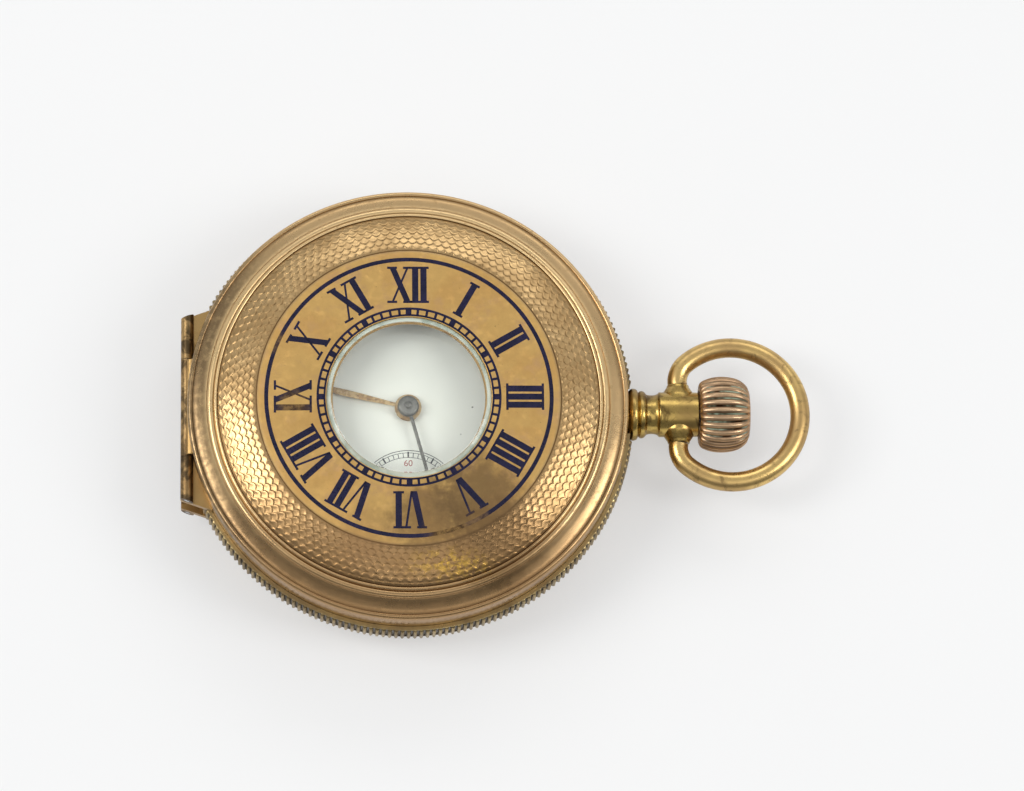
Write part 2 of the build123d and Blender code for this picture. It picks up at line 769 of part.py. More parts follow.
def inner_crystal():
    """Domed crystal over the dial, seated in the inner bezel."""
    radius = lip_radius - lip_thickness - snap_gap - bezel_width + crystal_seat - seat_gap
    edge = middle_high + seat_gap * 2 + bezel_height - crystal_seat
    flat = radius * crystal_flat_share
    return turned([(0, crystal_low), (flat, crystal_low), (radius, edge), (radius, edge + crystal_thickness),
                   (flat, crystal_high), (0, crystal_high)])


def dial():
    plate = disc(dial_radius, plate_high + seat_gap, dial_high)
    plate -= hole(dial_hole, plate_high, dial_high)
    return plate - hole(seconds_hole, plate_high, dial_high, fourth)


def main_plate():
    plate = disc(movement_radius, plate_low, plate_high)
    recess_low = plate_high - recess_depth
    hour_reach = pitch_radius(motion_module, hour_teeth) + 2 * running_gap + motion_module
    minute_reach = pitch_radius(motion_module, minute_teeth) + 2 * running_gap + motion_module
    plate -= hole(hour_reach, recess_low + overrun, plate_high)
    plate -= hole(minute_reach, recess_low + overrun, plate_high, minute_at)
    plate -= hole(arbor_radius + running_gap, plate_low, plate_high, centre)
    plate -= hole(pivot_radius + running_gap, plate_low, plate_high, fourth)
    reach = pinion_radius + snap_gap
    slot = block((stem_tip - snap_gap - crown_press, -reach, plate_low - overrun),
                 (bore_radius, reach, plate_high + overrun))
    return plate - slot


def bridge_split(offset):
    """Half space on the barrel's side of the line between the two bridges."""
    far = 2 * bore_radius
    half = block((offset, -far, 0), (far, far, plate_low))
    return Rot(0, 0, split_heading) * half


def bridge_blank():
    return disc(movement_radius - movement_gap, bridge_low, bridge_high)


def pillars(headings):
    return [disc(pillar_radius, bridge_high - seat_gap, plate_low - seat_gap, polar(pillar_circle, heading))
            for heading in headings]


def barrel_bridge():
    body = bridge_blank() & bridge_split(split_offset + snap_gap)
    for pillar in pillars(barrel_pillars):
        body += pillar
    body -= hole(arbor_radius * 2 + running_gap, bridge_low, bridge_high, barrel)
    hub = arbor_radius * 3 + running_gap
    return body - hole(hub, bridge_low, bridge_high, crown_wheel_at)


def train_bridge():
    body = bridge_blank() - bridge_split(split_offset)
    for pillar in pillars(train_pillars):
        body += pillar
    body -= hole(balance_radius + 5 * snap_gap, bridge_low, plate_low, balance)
    body -= hole(cock_foot_radius + snap_gap, bridge_low, plate_low, cock_foot)
    for at in (third, fourth, escape):
        body -= hole(jewel_radius + seat_gap, bridge_low, bridge_low + jewel_height - overrun, at)
    return body


def jewels():
    """Bearing stones let into the back of the train bridge and the balance cock."""
    stones = [disc(jewel_radius, bridge_low, bridge_low + jewel_height - seat_gap, at)
              for at in (third, fourth, escape)]
    stones.append(disc(jewel_radius, cock_low(), cock_low() + cock_thickness / 2 - seat_gap, balance))
    return Compound(stones)


def cock_low():
    return bridge_low - cock_thickness


def balance_cock():
    body = plate_between(balance, cock_head_radius, cock_foot, cock_foot_radius, cock_low(), bridge_low)
    body += disc(cock_foot_radius, bridge_low - seat_gap, plate_low - seat_gap, cock_foot)
    jewel_high = cock_low() + cock_thickness / 2
    return body - hole(jewel_radius + seat_gap, cock_low(), jewel_high - overrun, balance)


def pallet_cock():
    low = bridge_high + running_gap
    high = low + pallet_cock_thickness
    foot = pillar_radius * foot_share
    body = plate_between(pallet, pallet_cock_radius, pallet_cock_foot, foot, low, high)
    return body + disc(foot, high - seat_gap, plate_low - seat_gap, pallet_cock_foot)


def bridge_screws():
    """Heads of the screws that hold the bridges, the cock, the ratchet wheel and the crown wheel."""
    high = bridge_low - seat_gap
    low = high - screw_head
    heads = [disc(screw_radius, low, high, polar(pillar_circle, heading))
             for heading in barrel_pillars + train_pillars]
    cock = cock_low() - seat_gap
    heads.append(disc(screw_radius, cock - screw_head, cock, cock_foot))
    return Compound(heads)


def top_screw(at):
    high = top_wheel_low - seat_gap
    return disc(screw_radius * top_screw_share, high - screw_head + seat_gap, high, at)


def case_screws():
    """Two screws whose heads lap over the case middle's edge and hold the movement."""
    high = plate_low - seat_gap
    low = high - screw_head
    reach = movement_radius - screw_radius - movement_gap
    return Compound([disc(screw_radius, low, high, polar(reach, heading))
                     for heading in case_screw_headings])


def ratchet_wheel():
    return gear(top_module, ratchet_teeth, top_wheel_low, top_wheel_low + top_wheel, barrel)


def crown_wheel():
    """Wheel above the bridge, and on the same hub the ring below it that the pinion turns."""
    turn = meshing_turn(0, ratchet_teeth, heading_of(barrel, crown_wheel_at), crown_wheel_teeth)
    top_wheel_high = top_wheel_low + top_wheel
    wheel = gear(top_module, crown_wheel_teeth, top_wheel_low, top_wheel_high, crown_wheel_at, turn)
    lower_high = pendant_level - pinion_radius - running_gap
    wheel += disc(arbor_radius * 3, top_wheel_high - seat_gap, bridge_high + 2 * running_gap,
                  crown_wheel_at)
    return wheel + disc(crown_ring_radius() + clutch_radius / 4, bridge_high + running_gap, lower_high,
                        crown_wheel_at)


def barrel_arbor():
    return disc(arbor_radius * 2, top_wheel_low + top_wheel + seat_gap, plate_low - seat_gap, barrel)


def barrel_low():
    return bridge_high + 3 * running_gap


def drum_radius():
    return pitch_radius(barrel_module, barrel_teeth) - dedendum_share * barrel_module


def barrel_drum():
    """Toothed drum, open at the back, that holds the mainspring."""
    low = barrel_low()
    high = low + barrel_height
    radius = drum_radius()
    teeth_low = low + barrel_height / 2 - wheel_thickness
    turn = meshing_turn(centre_turn, centre_leaves, barrel_heading, barrel_teeth)
    drum = disc(radius, low, high, barrel)
    drum += gear(barrel_module, barrel_teeth, teeth_low, teeth_low + 2 * wheel_thickness, barrel, turn)
    drum -= hole(radius - barrel_wall, low, high - barrel_wall / 2 - overrun, barrel)
    return drum - hole(arbor_radius * 2 + running_gap, low, high, barrel)


def barrel_cover():
    low = barrel_low()
    radius = drum_radius() - barrel_wall - seat_gap
    return ring(radius, arbor_radius * 2 + running_gap, low, low + barrel_wall / 2, barrel)


def mainspring():
    """Wound spring, as the closed ring that its turns fill inside the drum."""
    low = barrel_low() + barrel_wall / 2 + running_gap
    high = barrel_low() + barrel_height - barrel_wall / 2 - running_gap
    radius = drum_radius() - barrel_wall - running_gap
    return ring(radius, radius / 2, low, high, barrel)


def click():
    pivot = polar(ratchet_tip() + click_radius + click_reach, click_heading, barrel)
    nose = polar(ratchet_tip() + running_gap + click_nose, click_heading + click_lean, barrel)
    return plate_between(pivot, click_radius, nose, click_nose, top_wheel_low, top_wheel_low + top_wheel)


def ratchet_tip():
    return pitch_radius(top_module, ratchet_teeth) + addendum_share * top_module


def click_spring():
    radius = ratchet_tip() + 2 * click_radius + click_reach + 2 * running_gap
    start, end = (click_heading + turn for turn in click_spring_span)
    body = Pos(barrel[0], barrel[1], 0) * sector(radius + click_nose, radius, start, end, top_wheel_low,
                                                 top_wheel_low + top_wheel)
    foot = polar(radius + click_nose / 2, click_heading + click_foot_turn, barrel)
    return body + disc(click_radius, top_wheel_low, top_wheel_low + top_wheel, foot)


def train_wheel(at, wheel_low, wheel_gear, wheel_turn, pinion_low, pinion_gear, pinion_turn, low, high):
    """Wheel, pinion and arbor of one train axis."""
    module, teeth = wheel_gear
    leaf_module, leaves = pinion_gear
    body = gear(module, teeth, wheel_low, wheel_low + wheel_thickness, at, wheel_turn)
    rim = pitch_radius(module, teeth) - (dedendum_share + rim_share) * module
    wheel_high = wheel_low + wheel_thickness
    for window in wheel_windows(rim, 3 * arbor_radius, spoke_count, wheel_low, wheel_high, at, wheel_turn):
        body -= window
    body += gear(leaf_module, leaves, pinion_low, pinion_low + pinion_length, at, pinion_turn)
    return body + disc(arbor_radius, low, high, at)


levels = {name: bridge_high + share * train_space for name, share in level_shares.items()}
third_turn = meshing_turn(0, centre_teeth, heading_of(centre, third), third_leaves)
fourth_turn = meshing_turn(0, third_teeth, heading_of(third, fourth), fourth_leaves)
escape_turn = meshing_turn(0, fourth_teeth, heading_of(fourth, escape), escape_leaves)


def centre_wheel():
    return train_wheel(centre, levels["centre_wheel"], (centre_module, centre_teeth), 0,
                       levels["centre_pinion"], (barrel_module, centre_leaves), centre_turn,
                       bridge_high + running_gap, minute_hand_low + hand_thickness)


def third_wheel():
    return train_wheel(third, levels["third_wheel"], (third_module, third_teeth), 0,
                       levels["third_pinion"], (centre_module, third_leaves), third_turn,
                       bridge_high + running_gap, plate_low - running_gap)


def fourth_wheel():
    body = train_wheel(fourth, levels["fourth_wheel"], (fourth_module, fourth_teeth), 0,
                       levels["fourth_pinion"], (third_module, fourth_leaves), fourth_turn,
                       bridge_high + running_gap, plate_low - running_gap)
    return body + disc(pivot_radius, plate_low - 2 * running_gap, seconds_low() + hand_thickness, fourth)


def escape_wheel():
    """Fifteen pointed teeth, leaning forward, on a light rim."""
    points = []
    for tooth in range(escape_teeth):
        pitch = 360 / escape_teeth
        base = tooth * pitch
        points.append(polar(escape_radius, base + lean_share * pitch))
        points.append(polar(escape_radius, base + (lean_share + tip_share) * pitch))
        for share in tooth_back_shares:
            points.append(polar(escape_radius * escape_root_share, base + share * pitch))
    low = levels["escape_wheel"]
    place = Pos(escape[0], escape[1], low) * Rot(0, 0, pallet_heading + escape_wheel_turn)
    body = extrude(place * make_face(Polyline(points, close=True)), wheel_thickness)
    rim, hub = escape_radius * escape_rim_share, arbor_radius * escape_hub_share
    for window in wheel_windows(rim, hub, escape_spoke_count, low, low + wheel_thickness, escape):
        body -= window
    pinion_low = levels["escape_pinion"]
    body += gear(fourth_module, escape_leaves, pinion_low, pinion_low + pinion_length, escape, escape_turn)
    return body + disc(arbor_radius, bridge_high + running_gap, plate_low - running_gap, escape)


def pallet_fork():
    """Lever with its two pallets beside the escape wheel and a notch at the roller."""
    low = levels["escape_wheel"]
    high = low + wheel_thickness
    length = escape_to_balance - pallet_distance - roller_radius - running_gap
    fork = length - pallet_bar
    face = outline([(0, -pallet_bar), (fork - pallet_bar, -pallet_bar / 2), (fork, -2 * pallet_bar),
                    (length, -2 * pallet_bar), (length - pallet_bar / 2, 0), (length, 2 * pallet_bar),
                    (fork, 2 * pallet_bar), (fork - pallet_bar, pallet_bar / 2), (0, pallet_bar)])
    body = Pos(pallet[0], pallet[1], low) * Rot(0, 0, pallet_heading) * extrude(face, high - low)
    for side in (-1, 1):
        reach = escape_radius + 2 * running_gap
        stone = polar(reach + pallet_bar, pallet_heading + side * pallet_spread, escape)
        body += plate_between(pallet, pallet_bar, stone, pallet_bar, low, high)
    arbor_low = bridge_high + 2 * running_gap + pallet_cock_thickness
    return body + disc(arbor_radius / 2, arbor_low, plate_low - running_gap, pallet)


def balance_levels():
    high = bridge_high - 2 * running_gap
    return high - balance_height, high


def balance_wheel():
    low, high = balance_levels()
    rim = ring(balance_radius, balance_radius - balance_rim, low, high, balance)
    arm_low = high - wheel_thickness
    inner = balance_radius - balance_rim / 2
    arm = Pos(balance[0], balance[1], arm_low) * Rot(0, 0, balance_arm_turn) * Box(
        2 * inner, 2 * balance_rim, wheel_thickness, align=(Align.CENTER, Align.CENTER, Align.MIN))
    arm += disc(2 * balance_rim, arm_low, high, balance)
    return rim + arm - hole(arbor_radius + seat_gap, low, high, balance)


def balance_staff():
    """Staff with the roller that faces the lever's notch."""
    low = levels["escape_wheel"]
    body = disc(arbor_radius, bridge_low + 2 * running_gap, plate_low - running_gap, balance)
    return body + disc(roller_radius, low - running_gap, low + wheel_thickness + running_gap, balance)


def hairspring():
    """Flat spiral of a thin strip between the balance and its cock."""
    low = bridge_low + running_gap * 2
    high = balance_levels()[0] - running_gap * 2
    inner, outer = hairspring_inner, balance_radius * hairspring_share
    count = hairspring_turns * hairspring_sides

    def at(step, offset):
        return polar(inner + (outer - inner) * step / count + offset, step * 360 / hairspring_sides, balance)

    points = [at(step, 0) for step in range(count + 1)] + [at(step, hairspring_width)
                                                           for step in range(count, -1, -1)]
    return Pos(0, 0, low) * extrude(make_face(Polyline(points, close=True)), max(high - low, running_gap))


def regulator():
    """Index lever on the balance cock."""
    high = cock_low() - running_gap
    low = high - cock_thickness / 2
    pointer = polar(balance_radius * regulator_share, regulator_heading, balance)
    body = plate_between(balance, jewel_radius * 2, pointer, click_nose, low, high)
    return body - hole(jewel_radius + running_gap, low, high, balance)


def motion_low():
    return plate_high - recess_depth + running_gap


def cannon_pinion():
    low = motion_low()
    body = gear(motion_module, cannon_leaves, low, low + wheel_thickness, centre, cannon_turn)
    body += disc(pipe_radius, low, minute_hand_low - seat_gap)
    return body - hole(arbor_radius + seat_gap, low, minute_hand_low)


def minute_wheel():
    low = motion_low()
    turn = meshing_turn(cannon_turn, cannon_leaves, minute_heading, minute_teeth)
    body = gear(motion_module, minute_teeth, low, low + wheel_thickness, minute_at, turn)
    body += gear(hour_module(), minute_leaves, low + wheel_thickness - seat_gap,
                 low + recess_depth * leaf_share, minute_at)
    return body - hole(arbor_radius + running_gap, low, plate_high, minute_at)


def hour_module():
    return 2 * dist(centre, minute_at) / (hour_teeth + minute_leaves)


def minute_post():
    return disc(arbor_radius, plate_high - recess_depth, plate_high - running_gap, minute_at)


def hour_wheel():
    low = motion_low() + wheel_thickness + 2 * running_gap
    outer = pipe_radius + running_gap + hour_pipe_wall
    turn = meshing_turn(0, minute_leaves, minute_heading + 180, hour_teeth)
    body = gear(hour_module(), hour_teeth, low, low + wheel_thickness, centre, turn)
    body += disc(outer, low, hour_hand_low - seat_gap)
    return body - hole(pipe_radius + running_gap, low, hour_hand_low)


def hand(points, low, thickness, heading, at, hub, bore):
    """Flat hand that points along +Y before it is turned to its clock heading."""
    blade = extrude(outline(points), thickness) + disc(hub, 0, thickness)
    place = Pos(at[0], at[1], low) * Rot(0, 0, -heading)
    return place * (blade - hole(bore, 0, thickness))


def hour_hand():
    """Leaf hand: narrow at the boss, widest past the middle, with a point."""
    half, length = hour_hand_width / 2, hour_hand_length
    outer = pipe_radius + running_gap + hour_pipe_wall
    neck, belly = length * neck_share, length * belly_share
    return hand([(-half / 2, 0), (half / 2, 0), (half / 2, neck), (half, belly), (0, length), (-half, belly),
                 (-half / 2, neck)],
                hour_hand_low, hand_thickness, hour_clock, centre, outer, pipe_radius + running_gap)


def minute_hand():
    half, length = minute_hand_width / 2, minute_hand_length
    taper, point = half * taper_share, length * taper_share
    blade = hand([(-half, 0), (half, 0), (taper, point), (0, length), (-taper, point)],
                 minute_hand_low, hand_thickness, minute_clock, centre, hub_radius, arbor_radius + seat_gap)
    hub = turned([(arbor_radius + seat_gap, minute_hand_low + hand_thickness - seat_gap),
                  (hub_radius, minute_hand_low + hand_thickness - seat_gap),
                  (hub_radius / 2, hub_high), (arbor_radius + seat_gap, hub_high)])
    return blade + hub


def seconds_low():
    return dial_high + hour_hand_rise / 3


def seconds_hand():
    half, length = minute_hand_width / 3, seconds_hand_length
    tail = length / 3
    return hand([(-half, -tail), (half, -tail), (half / 2, length), (-half / 2, length)],
                seconds_low(), hand_thickness, seconds_clock, fourth,
                pivot_radius * seconds_boss_share, pivot_radius + seat_gap)


nodes = {
    "case_middle": case_middle(),
    "milled_band": milled_band(),
    "pendant_tube": pendant_tube(),
    "front_hinge_case_tubes": case_tubes(front_knuckle / 2 + running_gap, front_hinge_z),
    "front_hinge_pin": hinge_pin(front_hinge_z),
    "back_hinge_case_tubes": case_tubes(cuvette_spans()[1] + running_gap, back_hinge_z),
    "back_hinge_pin": hinge_pin(back_hinge_z),
    "lock_spring": lock_spring(),
    "lift_spring": lift_spring(),
    "inner_bezel": inner_bezel(),
    "inner_crystal": inner_crystal(),
    "dial": dial(),
    "main_plate": main_plate(),
    "barrel_bridge": barrel_bridge(),
    "train_bridge": train_bridge(),
    "balance_cock": balance_cock(),
    "pallet_cock": pallet_cock(),
    "jewels": jewels(),
    "bridge_screws": bridge_screws(),
    "case_screws": case_screws(),
    "minute_wheel_post": minute_post(),
    "front_cover": front_cover(),
    "cover_glass": cover_glass(),
    "cover_glass_ring": glass_ring(),
    "front_hinge_cover_tube": hinge_tube(-front_knuckle / 2, front_knuckle / 2, front_hinge_z),
    "back_cover": back_cover(),
    "back_hinge_cover_tube": hinge_tube(-back_knuckle / 2, back_knuckle / 2, back_hinge_z),
    "cuvette": cuvette(),
    "cuvette_hinge_tubes": cuvette_tubes(),
    "bow": bow(),
    "crown": crown(),
    "winding_stem": winding_stem(),
    "winding_pinion": winding_pinion(),
    "clutch": clutch(),
    "crown_wheel": crown_wheel(),
    "crown_wheel_screw": top_screw(crown_wheel_at),
    "ratchet_wheel": ratchet_wheel(),
    "ratchet_screw": top_screw(barrel),
    "barrel_arbor": barrel_arbor(),
    "barrel_drum": barrel_drum(),
    "barrel_cover": barrel_cover(),
    "mainspring": mainspring(),
    "click": click(),
    "click_spring": click_spring(),
    "centre_wheel": centre_wheel(),
    "third_wheel": third_wheel(),
    "fourth_wheel": fourth_wheel(),
    "escape_wheel": escape_wheel(),
    "pallet_fork": pallet_fork(),
    "balance_wheel": balance_wheel(),
    "balance_staff": balance_staff(),
    "hairspring": hairspring(),
    "regulator": regulator(),
    "cannon_pinion": cannon_pinion(),
    "minute_wheel": minute_wheel(),
    "hour_wheel": hour_wheel(),
    "hour_hand": hour_hand(),
    "minute_hand": minute_hand(),
    "seconds_hand": seconds_hand(),
}

os.makedirs("parts", exist_ok=True)
for name, shape in nodes.items():
    export_step(shape, f"parts/{name}.step")
print(len(nodes), "nodes")
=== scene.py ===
# %% [markdown]
# # A half hunter pocket watch
# A half hunter is a pocket watch whose front cover has a small window, so that the time can be read
# with the cover shut. This lesson dresses a finished solid model of such a watch. The solids give
# every place and size; here the visible pieces get their fine shapes and their worn finishes.
# The first cell loads the solids.

# %% Load the solids
import json
from math import cos, pi, radians, sin

import bmesh
import bpy
from mathutils import Matrix, Vector


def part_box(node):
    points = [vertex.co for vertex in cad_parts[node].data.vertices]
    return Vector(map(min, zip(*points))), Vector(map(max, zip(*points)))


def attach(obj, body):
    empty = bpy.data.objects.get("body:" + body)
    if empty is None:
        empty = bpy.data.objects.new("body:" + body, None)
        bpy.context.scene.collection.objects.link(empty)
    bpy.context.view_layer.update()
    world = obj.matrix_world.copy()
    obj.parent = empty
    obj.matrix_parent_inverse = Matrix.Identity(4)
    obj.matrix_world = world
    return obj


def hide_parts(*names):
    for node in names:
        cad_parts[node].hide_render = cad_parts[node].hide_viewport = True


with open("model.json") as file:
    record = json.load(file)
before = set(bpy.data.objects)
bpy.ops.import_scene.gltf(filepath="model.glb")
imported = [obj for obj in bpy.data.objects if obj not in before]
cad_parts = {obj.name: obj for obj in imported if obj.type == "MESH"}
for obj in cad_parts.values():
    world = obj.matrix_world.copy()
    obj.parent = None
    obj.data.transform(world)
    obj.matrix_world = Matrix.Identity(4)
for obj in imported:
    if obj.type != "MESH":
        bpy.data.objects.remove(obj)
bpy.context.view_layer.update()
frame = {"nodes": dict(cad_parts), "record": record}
print("solids:", len(frame["nodes"]), "pieces")

# %% [markdown]
# ## Small tools
# All sizes below are in millimetres, as a watchmaker would write them, and Blender works in
# metres. The first tools put things in the scene and give a piece its finish. The next turn lists
# of points and faces into an object at the origin. A lathe tool turns a profile about the watch's
# axis, which suits almost every piece of a round case.

# %% Tools for meshes
MM = 0.001
sharp_angle = radians(38)
box_faces = [(0, 1, 3, 2), (4, 5, 7, 6), (0, 1, 5, 4), (2, 3, 7, 6), (0, 2, 6, 4), (1, 3, 7, 5)]


def placed(name, data):
    """Object in the scene that holds a mesh, a text, a lamp or a camera."""
    made = bpy.data.objects.new(name, data)
    bpy.context.scene.collection.objects.link(made)
    return made


def worked_out(holder):
    """Plain mesh of an object, with its modifiers or its text worked out."""
    now = bpy.context.evaluated_depsgraph_get()
    return bpy.data.meshes.new_from_object(holder.evaluated_get(now))


def coat(piece, finish):
    piece.data.materials.clear()
    piece.data.materials.append(finish)


def mesh_piece(name, points, faces, smooth=True):
    """Object at the origin from points in millimetres, with its faces turned outwards."""
    mesh = bpy.data.meshes.new(name)
    mesh.from_pydata([(x * MM, y * MM, z * MM) for x, y, z in points], [], faces)
    work = bmesh.new()
    work.from_mesh(mesh)
    bmesh.ops.remove_doubles(work, verts=work.verts, dist=1e-7)
    bmesh.ops.recalc_face_normals(work, faces=work.faces)
    work.to_mesh(mesh)
    work.free()
    if smooth:
        mesh.shade_smooth()
        mesh.set_sharp_from_angle(angle=sharp_angle)
    return placed(name, mesh)


def row_faces(a, b, count):
    """Quads between two closed rows of points."""
    return [(a * count + k, a * count + (k + 1) % count, b * count + (k + 1) % count, b * count + k)
            for k in range(count)]


def lathe_faces(rows, count):
    return [face for a in range(rows) for face in row_faces(a, (a + 1) % rows, count)]


def tube_faces(rows, count):
    """Faces between rows of points, with both ends closed."""
    sides = [face for a in range(rows - 1) for face in row_faces(a, a + 1, count)]
    return sides + [tuple(range(count)), tuple(range((rows - 1) * count, rows * count))]


def circle(radius, steps):
    return [(radius * cos(2 * pi * s / steps), radius * sin(2 * pi * s / steps)) for s in range(steps)]


def turned_piece(name, profile, steps=192, centre=(0, 0)):
    """Closed profile of (radius, height) points, turned about an upright axis."""
    points = [(centre[0] + x, centre[1] + y, z) for r, z in profile for x, y in circle(r, steps)]
    return mesh_piece(name, points, lathe_faces(len(profile), steps))


def raised(level, line):
    """Profile points whose heights are counted from a level."""
    return [(r, level + z) for r, z in line]


def rounded(points, steps=6):
    """Smooth open line through points, for a profile without corners."""
    line = []
    ends = [points[0]] + list(points) + [points[-1]]
    for a, b, c, d in zip(ends, ends[1:], ends[2:], ends[3:]):
        for k in range(steps):
            t = k / steps
            line.append(tuple(
                0.5 * (2 * q + (r - p) * t + (2 * p - 5 * q + 4 * r - s) * t * t
                       + (3 * q - p - 3 * r + s) * t ** 3) for p, q, r, s in zip(a, b, c, d)))
    return line + [points[-1]]


def height_on(line, radius):
    """Height of a line of (radius, height) points at a radius."""
    if radius <= line[0][0]:
        return line[0][1]
    for (r0, z0), (r1, z1) in zip(line, line[1:]):
        if radius <= r1:
            return z0 + (z1 - z0) * (radius - r0) / (r1 - r0)
    return line[-1][1]


def cut_away(piece, cutters):
    """Cut other meshes out of a piece and delete them."""
    for cutter in cutters:
        cut = piece.modifiers.new("cut", "BOOLEAN")
        cut.operation, cut.solver, cut.object = "DIFFERENCE", "EXACT", cutter
    mesh = worked_out(piece)
    piece.modifiers.clear()
    piece.data = mesh
    for cutter in cutters:
        bpy.data.objects.remove(cutter)
    mesh.set_sharp_from_angle(angle=sharp_angle)
    return piece


def rod(name, radius, start, end, steps=48):
    """Round rod between two places, with closed ends."""
    start, end = Vector(start), Vector(end)
    turn = (end - start).to_track_quat("Z", "Y")
    points = [tuple(at + turn @ Vector((x, y, 0)))
              for at in (start, end) for x, y in circle(radius, steps)]
    return mesh_piece(name, points, tube_faces(2, steps))


def box_piece(name, low, high):
    points = [(x, y, z) for x in (low[0], high[0]) for y in (low[1], high[1]) for z in (low[2], high[2])]
    return mesh_piece(name, points, box_faces, smooth=False)


print("tools ready")

# %% [markdown]
# ## Sizes read from the solids
# The solids already hold the levels of the case, so the script asks them for their boxes. That
# keeps each dressed piece in its place when the solid model changes.

# %% Levels of the case
def box_mm(node):
    low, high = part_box(node)
    return [v / MM for v in low], [v / MM for v in high]


def top_and_bottom(node):
    low, high = box_mm(node)
    return high[2], low[2]


lid_low, lid_high = box_mm("front_cover")
lid_radius, lid_top, lid_rim = lid_high[0], lid_high[2], lid_low[2]
glass_top, glass_foot = top_and_bottom("cover_glass")
dial_top = top_and_bottom("dial")[0]
back_rim = top_and_bottom("back_cover")[0]
band_top, band_foot = top_and_bottom("milled_band")
band_radius = box_mm("milled_band")[1][1]
crown_low, crown_high = box_mm("crown")
pendant_low, pendant_high = box_mm("pendant_tube")
stem_level = (crown_low[2] + crown_high[2]) / 2
hinge_low, hinge_high = box_mm("front_hinge_case_tubes")
hinge_radius = (hinge_high[2] - hinge_low[2]) / 2
hinge_x = hinge_low[0] + hinge_radius
hinge_z = (hinge_low[2] + hinge_high[2]) / 2
hinge_half = hinge_high[1]
print("lid radius %.2f, lid top %.2f" % (lid_radius, lid_top))
print("dial top %.2f, hinge at %.2f" % (dial_top, hinge_x))

# %% [markdown]
# ## Materials
# Old gilt brass is metal all over, but never one colour: the gilding is warm and smooth where hands
# polished it and dull where it is scratched, and in hollows some finishes paint shade as a darker
# brown. Each finish is a node tree that reads Object coordinates, so the pattern stays fixed to the
# piece in every pose. A small class keeps the trees short to write. Colours are written as they
# look on a screen and turned into light values by one function.

# %% A short way to write node trees
def shade(r, g, b):
    """Colour as it looks on a screen, 0 to 255, as light values."""
    return tuple(((c / 255 + 0.055) / 1.055) ** 2.4 if c > 10 else c / 3294 for c in (r, g, b)) + (1.0,)


